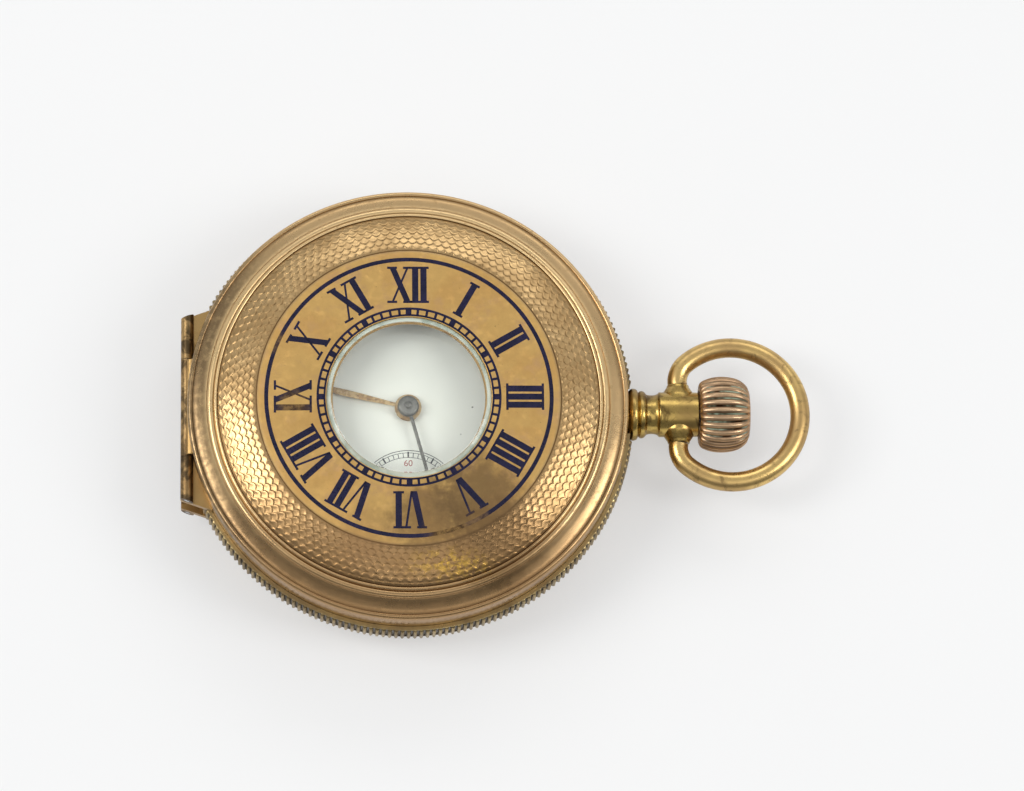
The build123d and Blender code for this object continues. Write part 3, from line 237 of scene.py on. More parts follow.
class Finish:
    """Node tree of one material."""

    def __init__(self, name, metallic=1.0, roughness=0.3):
        self.material = bpy.data.materials.new(name)
        self.material.use_nodes = True
        self.tree = self.material.node_tree
        self.shader = next(n for n in self.tree.nodes if n.type == "BSDF_PRINCIPLED")
        self.shader.inputs["Metallic"].default_value = metallic
        self.shader.inputs["Roughness"].default_value = roughness
        self.place = self.node("ShaderNodeTexCoord").outputs["Object"]

    def node(self, kind, inputs=(), **settings):
        made = self.tree.nodes.new(kind)
        for key, value in settings.items():
            setattr(made, key, value)
        for key, value in dict(inputs).items():
            self.put(value, made.inputs[key])
        return made

    def put(self, value, socket):
        if isinstance(value, bpy.types.NodeSocket):
            self.tree.links.new(value, socket)
        else:
            socket.default_value = value

    def math(self, operation, a, b=0.0, c=0.0):
        return self.node("ShaderNodeMath", {0: a, 1: b, 2: c}, operation=operation).outputs[0]

    def chain(self, operation, values):
        total = values[0]
        for value in values[1:]:
            total = self.math(operation, total, value)
        return total

    def times(self, *values):
        return self.chain("MULTIPLY", values)

    def plus(self, *values):
        return self.chain("ADD", values)

    def minus(self, *values):
        return self.chain("SUBTRACT", values)

    def most(self, *values):
        return self.chain("MAXIMUM", values)

    def away(self, value, level):
        """How far a value is from a level, to either side."""
        return self.math("ABSOLUTE", self.minus(value, level))

    def noise(self, scale, detail=3.0, roughness=0.55, distortion=0.0):
        inputs = {"Vector": self.place, "Scale": scale, "Detail": detail, "Roughness": roughness,
                  "Distortion": distortion}
        return self.node("ShaderNodeTexNoise", inputs).outputs["Fac"]

    def step(self, value, low, high, out_low=0.0, out_high=1.0):
        inputs = {"Value": value, "From Min": low, "From Max": high, "To Min": out_low,
                  "To Max": out_high}
        return self.node("ShaderNodeMapRange", inputs, interpolation_type="SMOOTHSTEP").outputs["Result"]

    def mix(self, amount, a, b):
        """Mix of two colours, each an output or a plain screen colour."""
        a, b = (shade(*c) if isinstance(c, tuple) else c for c in (a, b))
        return self.node("ShaderNodeMix", {0: amount, 6: a, 7: b}, data_type="RGBA").outputs[2]

    def layers(self, colour, *coats):
        """Colour with further colours laid over it, each by its own amount."""
        for amount, tint in coats:
            colour = self.mix(amount, colour, tint)
        return colour

    def parts(self):
        return self.node("ShaderNodeSeparateXYZ", {0: self.place}).outputs[:3]

    def around(self):
        """Radius in millimetres and angle about the watch's axis."""
        x, y, _ = self.parts()
        radius = self.math("SQRT", self.plus(self.times(x, x), self.times(y, y)))
        return self.math("DIVIDE", radius, MM), self.math("ARCTAN2", y, x)

    def near(self, spot, reach, soft=0.5, stretch=(1, 1, 1)):
        """1 near a spot, fading to 0 at its reach, with an uneven edge."""
        place = self.node("ShaderNodeMapping", {0: self.place, 3: stretch}, vector_type="POINT").outputs[0]
        centre = tuple(v * s * MM for v, s in zip(spot, stretch))
        far = self.node("ShaderNodeVectorMath", {0: place, 1: centre}, operation="DISTANCE")
        far = self.math("DIVIDE", far.outputs["Value"], reach * MM)
        ragged = self.plus(far, self.times(self.minus(self.noise(900, 4), 0.5), 0.9))
        return self.step(ragged, 1.0 - soft, 1.0 + soft * 0.3, 1.0, 0.0)

    def relief(self, height, depth, strength=1.0, below=None):
        inputs = {"Height": height, "Distance": depth * MM, "Strength": strength}
        if below is not None:
            inputs["Normal"] = below
        return self.node("ShaderNodeBump", inputs).outputs["Normal"]

    def done(self, colour=None, roughness=None, normal=None, metallic=None):
        for name, value in (("Base Color", colour), ("Roughness", roughness), ("Normal", normal),
                            ("Metallic", metallic)):
            if value is not None:
                self.put(value, self.shader.inputs[name])
        return self.material

    def show(self, amount, plain, other):
        """End the tree in a mix of two shaders."""
        mixed = self.node("ShaderNodeMixShader", {0: amount, 1: plain, 2: other}).outputs[0]
        end = next(n for n in self.tree.nodes if n.type == "OUTPUT_MATERIAL")
        self.put(mixed, end.inputs["Surface"])
        return self.material


print("finish tool ready")

# %% [markdown]
# ## Worn gilding
# One recipe serves all plain gilt pieces, with its own colours for each: clean metal, a duller
# tone in soft clouds, a dark tone in small stains, fine scratches in the relief, and a roughness
# that changes with the same clouds.

# %% Recipe for worn gilding
def worn_gilt(name, clean, dull, dark, stains=0.35, roughness=0.3):
    f = Finish(name)
    clouds = f.noise(190, 4, 0.6)
    stain = f.noise(620, 5, 0.65, distortion=0.6)
    colour = f.mix(f.step(clouds, 0.38, 0.66), clean, dull)
    stained = f.step(stain, 0.72 - stains * 0.3, 0.86 - stains * 0.25, 0.0, 0.85)
    rough = f.plus(f.step(clouds, 0.35, 0.7, roughness - 0.06, roughness + 0.08),
                   f.step(stain, 0.5, 0.8, 0.0, 0.15))
    lines = f.noise(2600, 2, 0.5, distortion=1.5)
    return f.done(f.mix(stained, colour, dark), rough, f.relief(lines, 0.004, 0.5))


case_gilt = worn_gilt("worn_case_gilt", (196, 160, 104), (172, 138, 88), (104, 78, 48), 0.5)
inner_gilt = worn_gilt("polished_inner_gilt", (214, 180, 116), (200, 164, 104), (150, 118, 70),
                       0.15, 0.22)
pendant_gilt = worn_gilt("olive_pendant_gilt", (196, 166, 94), (158, 130, 78), (92, 72, 42),
                         0.75, 0.27)
bow_gilt = worn_gilt("worn_bow_gilt", (224, 190, 122), (186, 154, 102), (116, 92, 62), 0.6, 0.32)
hinge_gilt = worn_gilt("tarnished_hinge_gilt", (178, 146, 98), (140, 112, 74), (60, 50, 38),
                       1.1, 0.36)
print("gilt finishes:", 5)

# %% [markdown]
# ## The front cover's shape
# Seen in section the cover runs from the window's edge over an almost flat enamelled band, falls
# over an engine-turned shoulder to a pair of fine beads, and then through a hollow cove to a
# rounded rim. A profile of drawn points, turned on its axis, gives all of it in one
# mesh. The height of that line is also needed later, because the enamel lies on it.

# %% Profile of the front cover
window_radius = 9.05
sheet = 0.6
wall = 0.95
drawn_radius, drawn_top = 24.22, 14.98
dome_line = [(9.2, 14.96), (12.0, 14.97), (14.6, 14.93), (16.1, 14.86), (16.6, 14.81),
             (17.3, 14.71), (18.3, 14.47), (19.3, 14.15), (20.15, 13.82), (20.85, 13.48)]
bead_line = [(20.92, 13.38), (20.98, 13.46), (21.12, 13.50), (21.26, 13.43), (21.34, 13.30),
             (21.4, 13.22), (21.48, 13.26), (21.7, 13.30), (21.92, 13.22), (22.06, 13.02), (22.1, 12.9)]
cove_line = [(22.16, 12.82), (22.5, 12.52), (22.95, 12.24), (23.3, 12.06), (23.6, 11.99), (23.66, 12.02)]
rim_line = [(23.72, 12.10), (23.86, 12.14), (24.02, 12.10), (24.15, 11.98), (24.22, 11.8)]
inner_line = [(lid_radius - wall, 11.4), (21.0, 12.7), (19.0, 13.75), (17.0, 14.2), (14.0, 14.36)]


def fitted(line):
    """The drawn line at the solid cover's size and height."""
    return [(r * lid_radius / drawn_radius, z + (lid_top - drawn_top)) for r, z in line]


dome = rounded(fitted(dome_line), 4)


def lid_height(radius):
    """Height of the cover's top at a radius, up to the beads."""
    return height_on(dome, radius)


outside = [(window_radius, lid_top - sheet + 0.02), (window_radius, lid_top - 0.05)] + dome
for line in (bead_line, cove_line, rim_line):
    outside += rounded(fitted(line), 3)
inside = [(lid_radius, lid_rim), (lid_radius - wall, lid_rim)] + rounded(inner_line, 3)
lid = turned_piece("engine_turned_lid", outside + inside, steps=288)
print("lid profile points:", len(outside) + len(inside))

# %% [markdown]
# The cover hangs on a tube at 9 o'clock. A round groove the size of the hinge tubes is cut out of
# its rim with a Boolean, and a short lug ties it to its own tube. The groove is a little wider
# than the tubes, so that the cover turns without touching them.

# %% Hinge groove and lug
groove_reach = hinge_half + 0.05
groove_room = 0.03


def hinge_groove(level):
    return rod("groove", hinge_radius + groove_room, (hinge_x, -groove_reach, level),
               (hinge_x, groove_reach, level))


cut_away(lid, [hinge_groove(hinge_z)])
lug_half = box_mm("front_hinge_cover_tube")[1][1] * 0.98
over_tube = hinge_radius + hinge_z
lug_line = [(-0.1, over_tube - 0.05), (0.1, over_tube + 0.3), (0.5, over_tube + 0.45),
            (0.9, over_tube + 0.4), (0.9, hinge_z + 0.5), (0.4, hinge_z + 0.5)]
lug_points = [(hinge_x + x, side * lug_half, z) for side in (-1, 1) for x, z in lug_line]
lug = mesh_piece("lid_hinge_lug", lug_points, tube_faces(2, len(lug_line)))
soften = lug.modifiers.new("soft edges", "BEVEL")
soften.width, soften.segments, soften.limit_method = 0.08 * MM, 3, "ANGLE"
print("lid faces:", len(lid.data.polygons))

# %% [markdown]
# ## The engine turning
# A rose engine cuts the small scales of the shoulder. Two families of short arcs, shifted by half
# a step, overlap like fish scales: each rises sharply at its arc and falls slowly outwards.
# One rule gives the height at any radius and angle. It is used twice: a thin skin of small faces
# on the shoulder is raised by it, eight columns to a scale, and the same rule in nodes paints shade
# at the foot of each arc and sharpens its edge.

# %% Rule of the engine turning
scale_count = 120
scale_pitch = 1.24
scale_sag = 1.1
scale_edge, scale_back, scale_low = 0.12, 0.55, 0.35


def smooth_step(value, low, high):
    share = min(max((value - low) / (high - low), 0.0), 1.0)
    return share * share * (3 - 2 * share)


def scale_height(radius, angle):
    """Height of the scales at a place, from 0 to 1."""
    past = 1.0
    for shift in (0.0, 0.5):
        across = (angle * scale_count / (2 * pi) + shift) % 1.0 - 0.5
        past = min(past, (radius / scale_pitch + shift - across * across * scale_sag) % 1.0)
    fall = (1 - scale_low) * smooth_step(past, scale_edge, scale_back)
    return smooth_step(past, 0.0, scale_edge) * (1 - fall)


def scaled_skin(name, inner, outer, surface, rows, columns=8, side=1):
    """Thin closed skin over a turned surface, with the scales raised on it."""
    depth, proud_of, sunk, fade_over = 0.05, 0.004, 0.08, 0.15
    steps = scale_count * columns
    points = []
    for row in range(rows + 1):
        radius = inner + (outer - inner) * row / rows
        fade = smooth_step(min(radius - inner, outer - radius), 0.0, fade_over)
        for s, (x, y) in enumerate(circle(radius, steps)):
            rise = proud_of + depth * fade * scale_height(radius, 2 * pi * s / steps)
            points.append((x, y, surface(radius) + side * rise))
    points += [(x, y, surface(radius) - side * sunk)
               for radius in (outer, inner) for x, y in circle(radius, steps)]
    return mesh_piece(name, points, lathe_faces(rows + 3, steps))


def engraved_scales(f, radius, angle):
    """The same rule in nodes: the distance past the nearest arc, and the height."""
    turns = f.times(angle, scale_count / (2 * pi))
    rows = f.math("DIVIDE", radius, scale_pitch)
    past = []
    for shift in (0.0, 0.5):
        across = f.minus(f.math("FRACT", f.plus(turns, shift)), 0.5)
        sag = f.times(across, across, scale_sag)
        past.append(f.math("FRACT", f.minus(f.plus(rows, shift), sag)))
    past = f.math("MINIMUM", *past)
    return past, f.times(f.step(past, 0.0, scale_edge), f.step(past, scale_edge, scale_back, 1.0, scale_low))


print("scales:", scale_count, "round")

# %% [markdown]
# The cover's finish has a smooth band round the window, an engraved line, the scaled shoulder and
# the beads. Darker brown patches lie between 4 and 6 o'clock, with one bright rubbed patch below
# them whose bright specks are painted glints. Painted shade browns the cover towards 6 o'clock and
# the rim's left side, and darkens the cove, the feet of the beads and the foot of each scale.

# %% Finish of the front cover
def scaled_finish(f, colour, clouds, fine, height, more_rough=None):
    """What both engine-turned covers share: roughness from wear, relief from the scales."""
    rough = f.plus(f.step(clouds, 0.3, 0.7, 0.24, 0.34), f.step(fine, 0.45, 0.8, 0.0, 0.14))
    if more_rough is not None:
        rough = f.plus(rough, more_rough)
    scratches = f.noise(2400, 3, 0.6, distortion=1.2)
    return f.done(colour, rough, f.relief(scratches, 0.006, 0.5, f.relief(height, 0.02, 0.7)))


def lid_material():
    f = Finish("worn_engine_turned_gilt")
    radius, angle = f.around()
    x, y, z = f.parts()
    past, scales = engraved_scales(f, radius, angle)
    # only the top side is engraved: it is told from the inside by its height at each radius
    over = f.most(f.minus(radius, 16.8), 0.0)
    fall = f.times(over, f.plus(f.times(over, 0.035), 0.2))
    top_side = f.step(f.plus(f.math("DIVIDE", z, MM), fall), lid_top - 0.55, lid_top - 0.42)
    zone = f.times(f.step(radius, 16.7, 17.0), f.step(radius, 20.75, 20.9, 1.0, 0.0), top_side)
    band = f.times(f.step(radius, 16.3, 16.65, 1.0, 0.0), top_side)
    clouds, fine, specks = f.noise(210, 5, 0.62), f.noise(1500, 4, 0.6), f.noise(2900, 3, 0.7)
    band_colour = f.layers(
        (222, 180, 110), (f.step(clouds, 0.40, 0.62), (204, 162, 98)),
        (f.step(f.noise(330, 4, 0.7), 0.5, 0.72, 0.0, 0.7), (204, 162, 116)),
        (f.step(specks, 0.66, 0.76, 0.0, 0.5), (120, 92, 60)))
    # painted shade: the cover turns browner towards 6 o'clock, standing in for the dark reflection there
    below = f.step(f.plus(y, f.times(f.minus(clouds, 0.5), 0.02)), -20 * MM, -2 * MM, 0.66, 0.0)
    # painted shade: a brown crescent at the foot of each scale's arc
    groove = f.times(f.step(past, 0.05, 0.15, 1.0, 0.0), zone)
    outer = f.layers(
        (202, 169, 120), (f.step(clouds, 0.36, 0.64), (176, 144, 99)),
        (f.step(radius, 20.7, 21.0, 0.0, 0.85), (228, 196, 144)),
        (f.step(radius, 22.2, 22.7, 0.0, 0.7), (206, 172, 124)),
        (f.step(fine, 0.55, 0.8, 0.0, 0.5), (148, 116, 78)), (below, (148, 112, 75)),
        (f.times(groove, f.step(fine, 0.35, 0.6, 0.75, 0.35)), (118, 88, 50)))
    colour = f.mix(band, outer, band_colour)
    # dark lines: the engraved line; painted shade at the feet of the two beads and in the cove
    brown = (104, 76, 46)
    engraved = f.times(f.step(f.away(radius, 16.66), 0.03, 0.11, 0.9, 0.0), top_side)
    colour = f.layers(
        colour, (engraved, brown), (f.step(f.away(radius, 20.93), 0.02, 0.10, 0.8, 0.0), brown),
        (f.step(f.away(radius, 21.42), 0.02, 0.09, 0.6, 0.0), brown),
        (f.step(f.away(radius, 23.55), 0.05, 0.5, 0.55, 0.0), brown))
    # painted shade on the rim's left side, at the hinge
    painted_shade_left = f.times(f.step(x, -12 * MM, -22 * MM), f.step(radius, 22.0, 22.8),
                         f.step(fine, 0.3, 0.6, 0.3, 0.75))
    colour = f.mix(painted_shade_left, colour, (104, 86, 64))
    # darker brown patches between 4 and 6 o'clock
    for spot, reach, amount, tint in (((7.6, -11.6, 14.9), 5.8, 0.8, (122, 98, 68)),
                                      ((2.0, -13.4, 14.9), 4.6, 0.72, (128, 102, 70)),
                                      ((-4.5, -15.5, 14.9), 3.6, 0.3, (150, 116, 80)),
                                      ((9.5, -16.5, 14.5), 6.0, 0.6, (122, 94, 62))):
        colour = f.mix(f.times(f.near(spot, reach), amount), colour, tint)
    # a rubbed patch of worn gilding; its bright specks are painted glints
    rubbed = f.near((4.4, -18.6, 14.3), 3.4, 1.0, (0.7, 1.9, 1.0))
    glint_specks = f.step(f.noise(1400, 3, 0.7), 0.42, 0.6)
    colour = f.mix(f.times(rubbed, glint_specks, 0.6), colour, (222, 178, 72))
    return scaled_finish(f, colour, clouds, fine, f.times(scales, zone), f.times(band, 0.08))


lid_gilt = lid_material()
lid_scales = scaled_skin("lid_scales", 16.74, 20.8, lid_height, 54)
for piece in (lid, lug, lid_scales):
    coat(piece, case_gilt if piece is lug else lid_gilt)
    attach(piece, "front_cover")
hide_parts("front_cover")
print("front cover dressed, scale faces:", len(lid_scales.data.polygons))

# %% [markdown]
# ## Enamel numerals and rings
# Round the window lie Roman numerals, a ring and a minute track in dark blue enamel. Each numeral
# is built from a few strokes, thick and thin with hairline serifs, as an engraver cuts them. The
# strokes are thin slabs whose top lies a hundredth of a millimetre above the cover, so they look
# inlaid. A numeral's foot points to the middle of the watch. All widths are shares of its height.

# %% Strokes of Roman numerals
proud = 0.012
inlay_depth = 0.08
thick_share, thin_share, hair_share, serif_share = 0.165, 0.058, 0.062, 0.13
one_share, wide_share, gap_share = 0.22, 0.42, 0.08


def letter_strokes(letter, at, size):
    """Strokes (start, end, width) of I, V or X, whose left edge is at a place, and its width."""
    half = size / 2
    thick, thin, hair = size * thick_share, size * thin_share, size * hair_share
    if letter == "I":
        x = at + size * one_share / 2
        return [((x, -half), (x, half), thick)], size * one_share
    wide, serif = size * wide_share, size * serif_share
    left = at + size * gap_share
    right, middle = left + wide, left + wide / 2
    if letter == "V":
        rows = [((left, half), (middle, -half), thick), ((right, half), (middle + thin, -half), thin)]
        levels = [half - hair / 2]
    else:
        rows = [((left, half), (right, -half), thick), ((right, half), (left, -half), thin)]
        levels = [half - hair / 2, hair / 2 - half]
    rows += [((x - serif, y), (x + serif, y), hair) for x in (left, right) for y in levels]
    return rows, wide + size * gap_share * 2


def numeral_strokes(text, size):
    """Strokes of a whole numeral about its middle; hairlines join neighbouring ones."""
    rows, at, ones = [], 0.0, []
    for letter in text:
        made, width = letter_strokes(letter, at, size)
        if letter == "I":
            ones += [at, at + width]
        rows += made
        at += width
    if ones:
        low, high, hair = ones[0] - size * 0.03, ones[-1] + size * 0.03, size * hair_share
        rows += [((low, y), (high, y), hair) for y in (size / 2 - hair / 2, hair / 2 - size / 2)]
    return [((a[0] - at / 2, a[1]), (b[0] - at / 2, b[1]), width) for a, b, width in rows]


def inlaid_numerals(name, ring, size, height_at, depth=inlay_depth, squeeze=1.0):
    """All twelve numerals on a circle, as slabs that follow a surface."""
    points, faces = [], []
    texts = ["XII", "I", "II", "III", "IIII", "V", "VI", "VII", "VIII", "IX", "X", "XI"]
    for hour, text in enumerate(texts):
        heading = radians(90 - 30 * hour)
        out, across = Vector((cos(heading), sin(heading))), Vector((sin(heading), -cos(heading)))
        for a, b, width in numeral_strokes(text, size):
            a, b = Vector(a), Vector(b)
            along = (b - a).normalized()
            half = Vector((1, 0) if abs(along.y) > abs(along.x) else (0, 1)) * width / 2
            steps = 6 if (b - a).length > size / 2 else 1
            first = len(points)
            for k in range(steps + 1):
                sides = []
                for spot in (a.lerp(b, k / steps) - half, a.lerp(b, k / steps) + half):
                    flat = out * (ring + spot.y) + across * spot.x * squeeze
                    sides.append((flat.x, flat.y, height_at(flat.length) + proud))
                (x0, y0, z0), (x1, y1, z1) = sides
                points += [(x0, y0, z0), (x0, y0, z0 - depth), (x1, y1, z1 - depth), (x1, y1, z1)]
            faces += [tuple(first + k for k in face) for face in tube_faces(steps + 1, 4)]
    return mesh_piece(name, points, faces, smooth=False)


lid_numerals = inlaid_numerals("enamel_numerals", 12.68, 4.15, lid_height)
print("numeral faces:", len(lid_numerals.data.polygons))

# %% [markdown]
# The two rings of the track and the outer ring are flat bands that lie on the cover in the same
# way. The sixty bars of the track repeat, so one bar is made and a Geometry Nodes tree copies it
# round the circle. The same tree later sets the ribs of the milled edge and the dial's minutes.
# Every such tree ends alike: copies on points are made real and given their finish.

# %% A tree that copies a piece round a circle
def copying_tree(name, **inputs):
    """Tree with named inputs that sets copies of a piece on points, with what completes it."""
    tree = bpy.data.node_groups.new(name, "GeometryNodeTree")
    for label, kind in dict(inputs, Piece="Object", Finish="Material").items():
        tree.interface.new_socket(label, in_out="INPUT", socket_type="NodeSocket" + kind)
    tree.interface.new_socket("Geometry", in_out="OUTPUT", socket_type="NodeSocketGeometry")
    add, link = tree.nodes.new, tree.links.new
    given, source = add("NodeGroupInput").outputs, add("GeometryNodeObjectInfo")
    copies, real = add("GeometryNodeInstanceOnPoints"), add("GeometryNodeRealizeInstances")
    finish, end = add("GeometryNodeSetMaterial"), add("NodeGroupOutput")
    link(given["Piece"], source.inputs["Object"])
    link(source.outputs["Geometry"], copies.inputs["Instance"])
    link(copies.outputs[0], real.inputs[0])
    link(real.outputs[0], finish.inputs["Geometry"])
    link(given["Finish"], finish.inputs["Material"])
    link(finish.outputs[0], end.inputs[0])
    return tree, given, copies.inputs


def circle_tree():
    tree, given, copies = copying_tree("copies_round_a_circle", Count="Int", Skip="Int")
    add, link = tree.nodes.new, tree.links.new

    def math(operation, a, b):
        made = add("ShaderNodeMath")
        made.operation = operation
        for value, socket in zip((a, b), made.inputs):
            if isinstance(value, float):
                socket.default_value = value
            else:
                link(value, socket)
        return made.outputs[0]

    dots, axis = add("GeometryNodePoints"), add("ShaderNodeCombineXYZ")
    index = add("GeometryNodeInputIndex").outputs[0]
    link(given["Count"], dots.inputs["Count"])
    link(math("MULTIPLY", math("DIVIDE", index, given["Count"]), 2 * pi), axis.inputs["Z"])
    # a copy stays if nothing is to be skipped, or if its number isn't a multiple of Skip
    wanted = math("MAXIMUM", math("MODULO", index, given["Skip"]), math("LESS_THAN", given["Skip"], 0.5))
    link(dots.outputs[0], copies["Points"])
    link(axis.outputs[0], copies["Rotation"])
    link(wanted, copies["Selection"])
    return tree


def from_tree(name, tree, values, start=None):
    """Plain mesh from a tree with its named inputs set."""
    holder = placed(name, start or bpy.data.meshes.new(name))
    live = holder.modifiers.new("copies", "NODES")
    live.node_group = tree
    inputs = {item.name: item.identifier for item in tree.interface.items_tree if item.in_out == "INPUT"}
    for key, value in values.items():
        live[inputs[key]] = value
    mesh = worked_out(holder)
    holder.modifiers.remove(live)
    mesh.name = name
    holder.data = mesh
    return holder


circle_copies = circle_tree()


def round_copies(name, piece, count, finish, skip=0):
    """A piece copied round the watch's axis, with every skip-th copy left out."""
    made = from_tree(name, circle_copies, {
        "Piece": piece, "Count": count, "Skip": skip, "Finish": finish})
    bpy.data.objects.remove(piece)
    return made


print("copy tree nodes:", len(circle_copies.nodes))

# %% Rings, track bars and the enamel
def flat_ring(name, inner, outer, height_at, depth=inlay_depth, steps=240):
    crest = [(radius, height_at(radius) + proud) for radius in (inner, (inner + outer) / 2, outer)]
    profile = [(inner, height_at(inner) - depth)] + crest + [(outer, height_at(outer) - depth)]
    return turned_piece(name, profile, steps)


def track_bar(inner, outer, width, height_at, depth=inlay_depth):
    points = [(x, y, height_at(y) + z) for y in (inner, outer) for x in (-width / 2, width / 2)
              for z in (proud, -depth)]
    return mesh_piece("bar", points, box_faces, smooth=False)


def worn_enamel():
    """Dark blue enamel that has flaked down to the metal in a few places."""
    f = Finish("worn_blue_enamel", metallic=0.0, roughness=0.3)
    f.shader.inputs["Specular IOR Level"].default_value = 0.28
    chips = f.noise(2300, 4, 0.7)
    gone = f.step(chips, 0.70, 0.74)
    for spot, reach, amount in (((4.4, -15.0, 14.9), 2.9, 1.0), ((7.4, -13.9, 14.9), 1.6, 0.6),
                                ((-12.6, -0.95, 14.95), 1.9, 0.8), ((-8.6, 10.2, 14.95), 1.1, 0.75),
                                ((-14.6, 6.2, 14.9), 1.5, 0.45)):
        gone = f.most(gone, f.times(f.near(spot, reach, 0.6), amount))
    blue = f.mix(f.step(f.noise(700, 3), 0.4, 0.7), (18, 17, 44), (28, 25, 56))
    metal = f.mix(f.step(f.noise(1300, 3), 0.4, 0.6), (150, 118, 74), (96, 74, 52))
    return f.done(f.mix(gone, blue, metal), f.step(chips, 0.3, 0.7, 0.22, 0.42), None, gone)


enamel = worn_enamel()
bars = round_copies("track_bars", track_bar(9.2, 9.9, 0.28, lid_height), 60, enamel, skip=5)
blocks = round_copies("track_blocks", track_bar(9.2, 9.9, 0.64, lid_height), 12, enamel)
rings = [flat_ring(name, inner, outer, lid_height) for name, inner, outer in (
    ("enamel_outer_ring", 15.36, 15.8), ("track_outer_ring", 9.84, 10.1), ("track_inner_ring", 9.12, 9.34))]
for piece in [lid_numerals, bars, blocks] + rings:
    coat(piece, enamel)
    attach(piece, "front_cover")
print("track bars:", len(bars.data.polygons) // 6, "blocks:", len(blocks.data.polygons) // 6)

# %% [markdown]
# ## Glasses
# The window's glass is flat with a ground bevel round its edge, which catches the light as a pale
# green ring. A second, domed crystal sits under the cover. Real refraction would keep light off the
# dial, so the material lets shadow rays straight through and is a plain glass for all others.

# %% Window glass
def clear_glass(name, tint, bevel_from=None):
    f = Finish(name, metallic=0.0, roughness=0.02)
    for key, value in (("Base Color", tint), ("Transmission Weight", 1.0), ("IOR", 1.45),
                       ("Normal", f.relief(f.noise(400, 2), 0.002, 0.2))):
        f.put(value, f.shader.inputs[key])
    passing = f.node("ShaderNodeBsdfTransparent", {"Color": tint}).outputs[0]
    path = f.node("ShaderNodeLightPath").outputs
    soft_ray = f.most(path["Is Shadow Ray"], path["Is Diffuse Ray"])
    shown = f.shader.outputs[0]
    if bevel_from:
        pale = f.mix(f.step(f.noise(500, 3), 0.4, 0.65), (208, 220, 208), (164, 180, 168))
        ground = f.node("ShaderNodeBsdfPrincipled", {"Base Color": pale, "Roughness": 0.25})
        edge = f.step(f.around()[0], bevel_from, bevel_from + 0.08, 0.0, 0.66)
        shown = f.node("ShaderNodeMixShader", {0: edge, 1: shown, 2: ground.outputs[0]}).outputs[0]
    return f.show(soft_ray, shown, passing)


window_clear = clear_glass("window_glass", (0.99, 1.0, 0.995, 1.0), 8.48)
crystal_clear = clear_glass("crystal_glass", (0.995, 1.0, 0.995, 1.0))
glass_edge = window_radius - 0.03
window = turned_piece("bevelled_window", [(0.0, glass_foot), (glass_edge, glass_foot)] + raised(glass_top, [
    (glass_edge, -0.36), (8.96, -0.3), (8.46, -0.03), (8.36, 0.0), (0.0, 0.0)]), 192)
coat(window, window_clear)
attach(window, "front_cover")
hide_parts("cover_glass")
print("window glass from %.2f to %.2f" % (glass_foot, glass_top))

# %% [markdown]
# A thin bright ring holds the glass in the cover.

# %% Setting of the window glass
sheet_foot = lid_top - sheet - 0.03
setting = turned_piece("window_setting", raised(glass_foot, [
    (8.3, -0.03), (8.3, -0.2), (8.4, -0.36), (9.6, -0.36), (9.74, -0.3)])
    + [(9.74, sheet_foot), (9.08, sheet_foot), (9.04, glass_foot - 0.03)], 160)
coat(setting, case_gilt)
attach(setting, "front_cover")
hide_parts("cover_glass_ring")
print("window setting made")

# %% [markdown]
# ## The dial
# The dial is fired white enamel, glossy and a little uneven, with tiny dark specks. Its ring of
# Roman numerals and its minute track show when the cover is open. The small seconds circle at
# 6 o'clock peeps into the window. All print is black and thin, except a red 60.

# %% Enamel of the dial
print_depth = 0.03


def dial_enamel():
    f = Finish("white_dial_enamel", metallic=0.0, roughness=0.16)
    clouds = f.noise(120, 3)
    colour = f.layers((253, 252, 242), (f.step(clouds, 0.35, 0.7), (248, 247, 236)),
                      (f.step(f.noise(1700, 1, 0.4), 0.79, 0.8, 0.0, 0.8), (90, 84, 76)))
    return f.done(colour, f.step(clouds, 0.3, 0.7, 0.14, 0.24), f.relief(f.noise(260, 2), 0.01, 0.25))


def dial_print(name, colour):
    f = Finish(name, metallic=0.0, roughness=0.35)
    worn = f.step(f.noise(2600, 3, 0.7), 0.6, 0.75, 0.0, 0.5)
    return f.done(f.mix(worn, colour, (150, 146, 138)), f.step(worn, 0.0, 1.0, 0.3, 0.5))


def dial_level(radius):
    return dial_top


def on_dial(piece, finish):
    coat(piece, finish)
    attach(piece, "case")


def dial_ring(name, inner, outer, steps=240):
    return flat_ring(name, inner, outer, dial_level, print_depth, steps)


def dial_bars(name, inner, outer, width, count, skip=0):
    return round_copies(name, track_bar(inner, outer, width, dial_level, print_depth), count,
                        print_black, skip)


dial_white = dial_enamel()
print_black = dial_print("black_dial_print", (38, 36, 38))
print_red = dial_print("red_dial_print", (176, 84, 74))
on_dial(inlaid_numerals("dial_numerals", 16.3, 4.6, dial_level, print_depth, 0.8), print_black)
on_dial(dial_ring("dial_track_outer", 20.25, 20.33), print_black)
on_dial(dial_ring("dial_track_inner", 19.25, 19.33), print_black)
on_dial(dial_bars("dial_minutes", 19.3, 20.3, 0.08, 60), print_black)
on_dial(dial_bars("dial_fives", 19.3, 20.3, 0.3, 12), print_black)
print("dial printed")

# %% [markdown]
# The seconds circle has two fine outer lines, a tick for each second, longer ones for each five,
# and small figures by tens. The figures are Blender text, made a mesh before it is placed.

# %% Small seconds circle
seconds_at = (0.0, -10.0)
figure_ring = 4.1


def on_seconds(piece):
    piece.data.transform(Matrix.Translation((seconds_at[0] * MM, seconds_at[1] * MM, 0)))
    on_dial(piece, print_black)


for name, inner, outer in (("seconds_line_outer", 5.46, 5.53), ("seconds_line_middle", 5.22, 5.27),
                           ("seconds_line_inner", 4.72, 4.77)):
    on_seconds(dial_ring(name, inner, outer, 120))
on_seconds(dial_bars("seconds_ticks", 4.75, 5.24, 0.07, 60, skip=5))
on_seconds(dial_bars("seconds_fives", 4.75, 5.36, 0.16, 12))


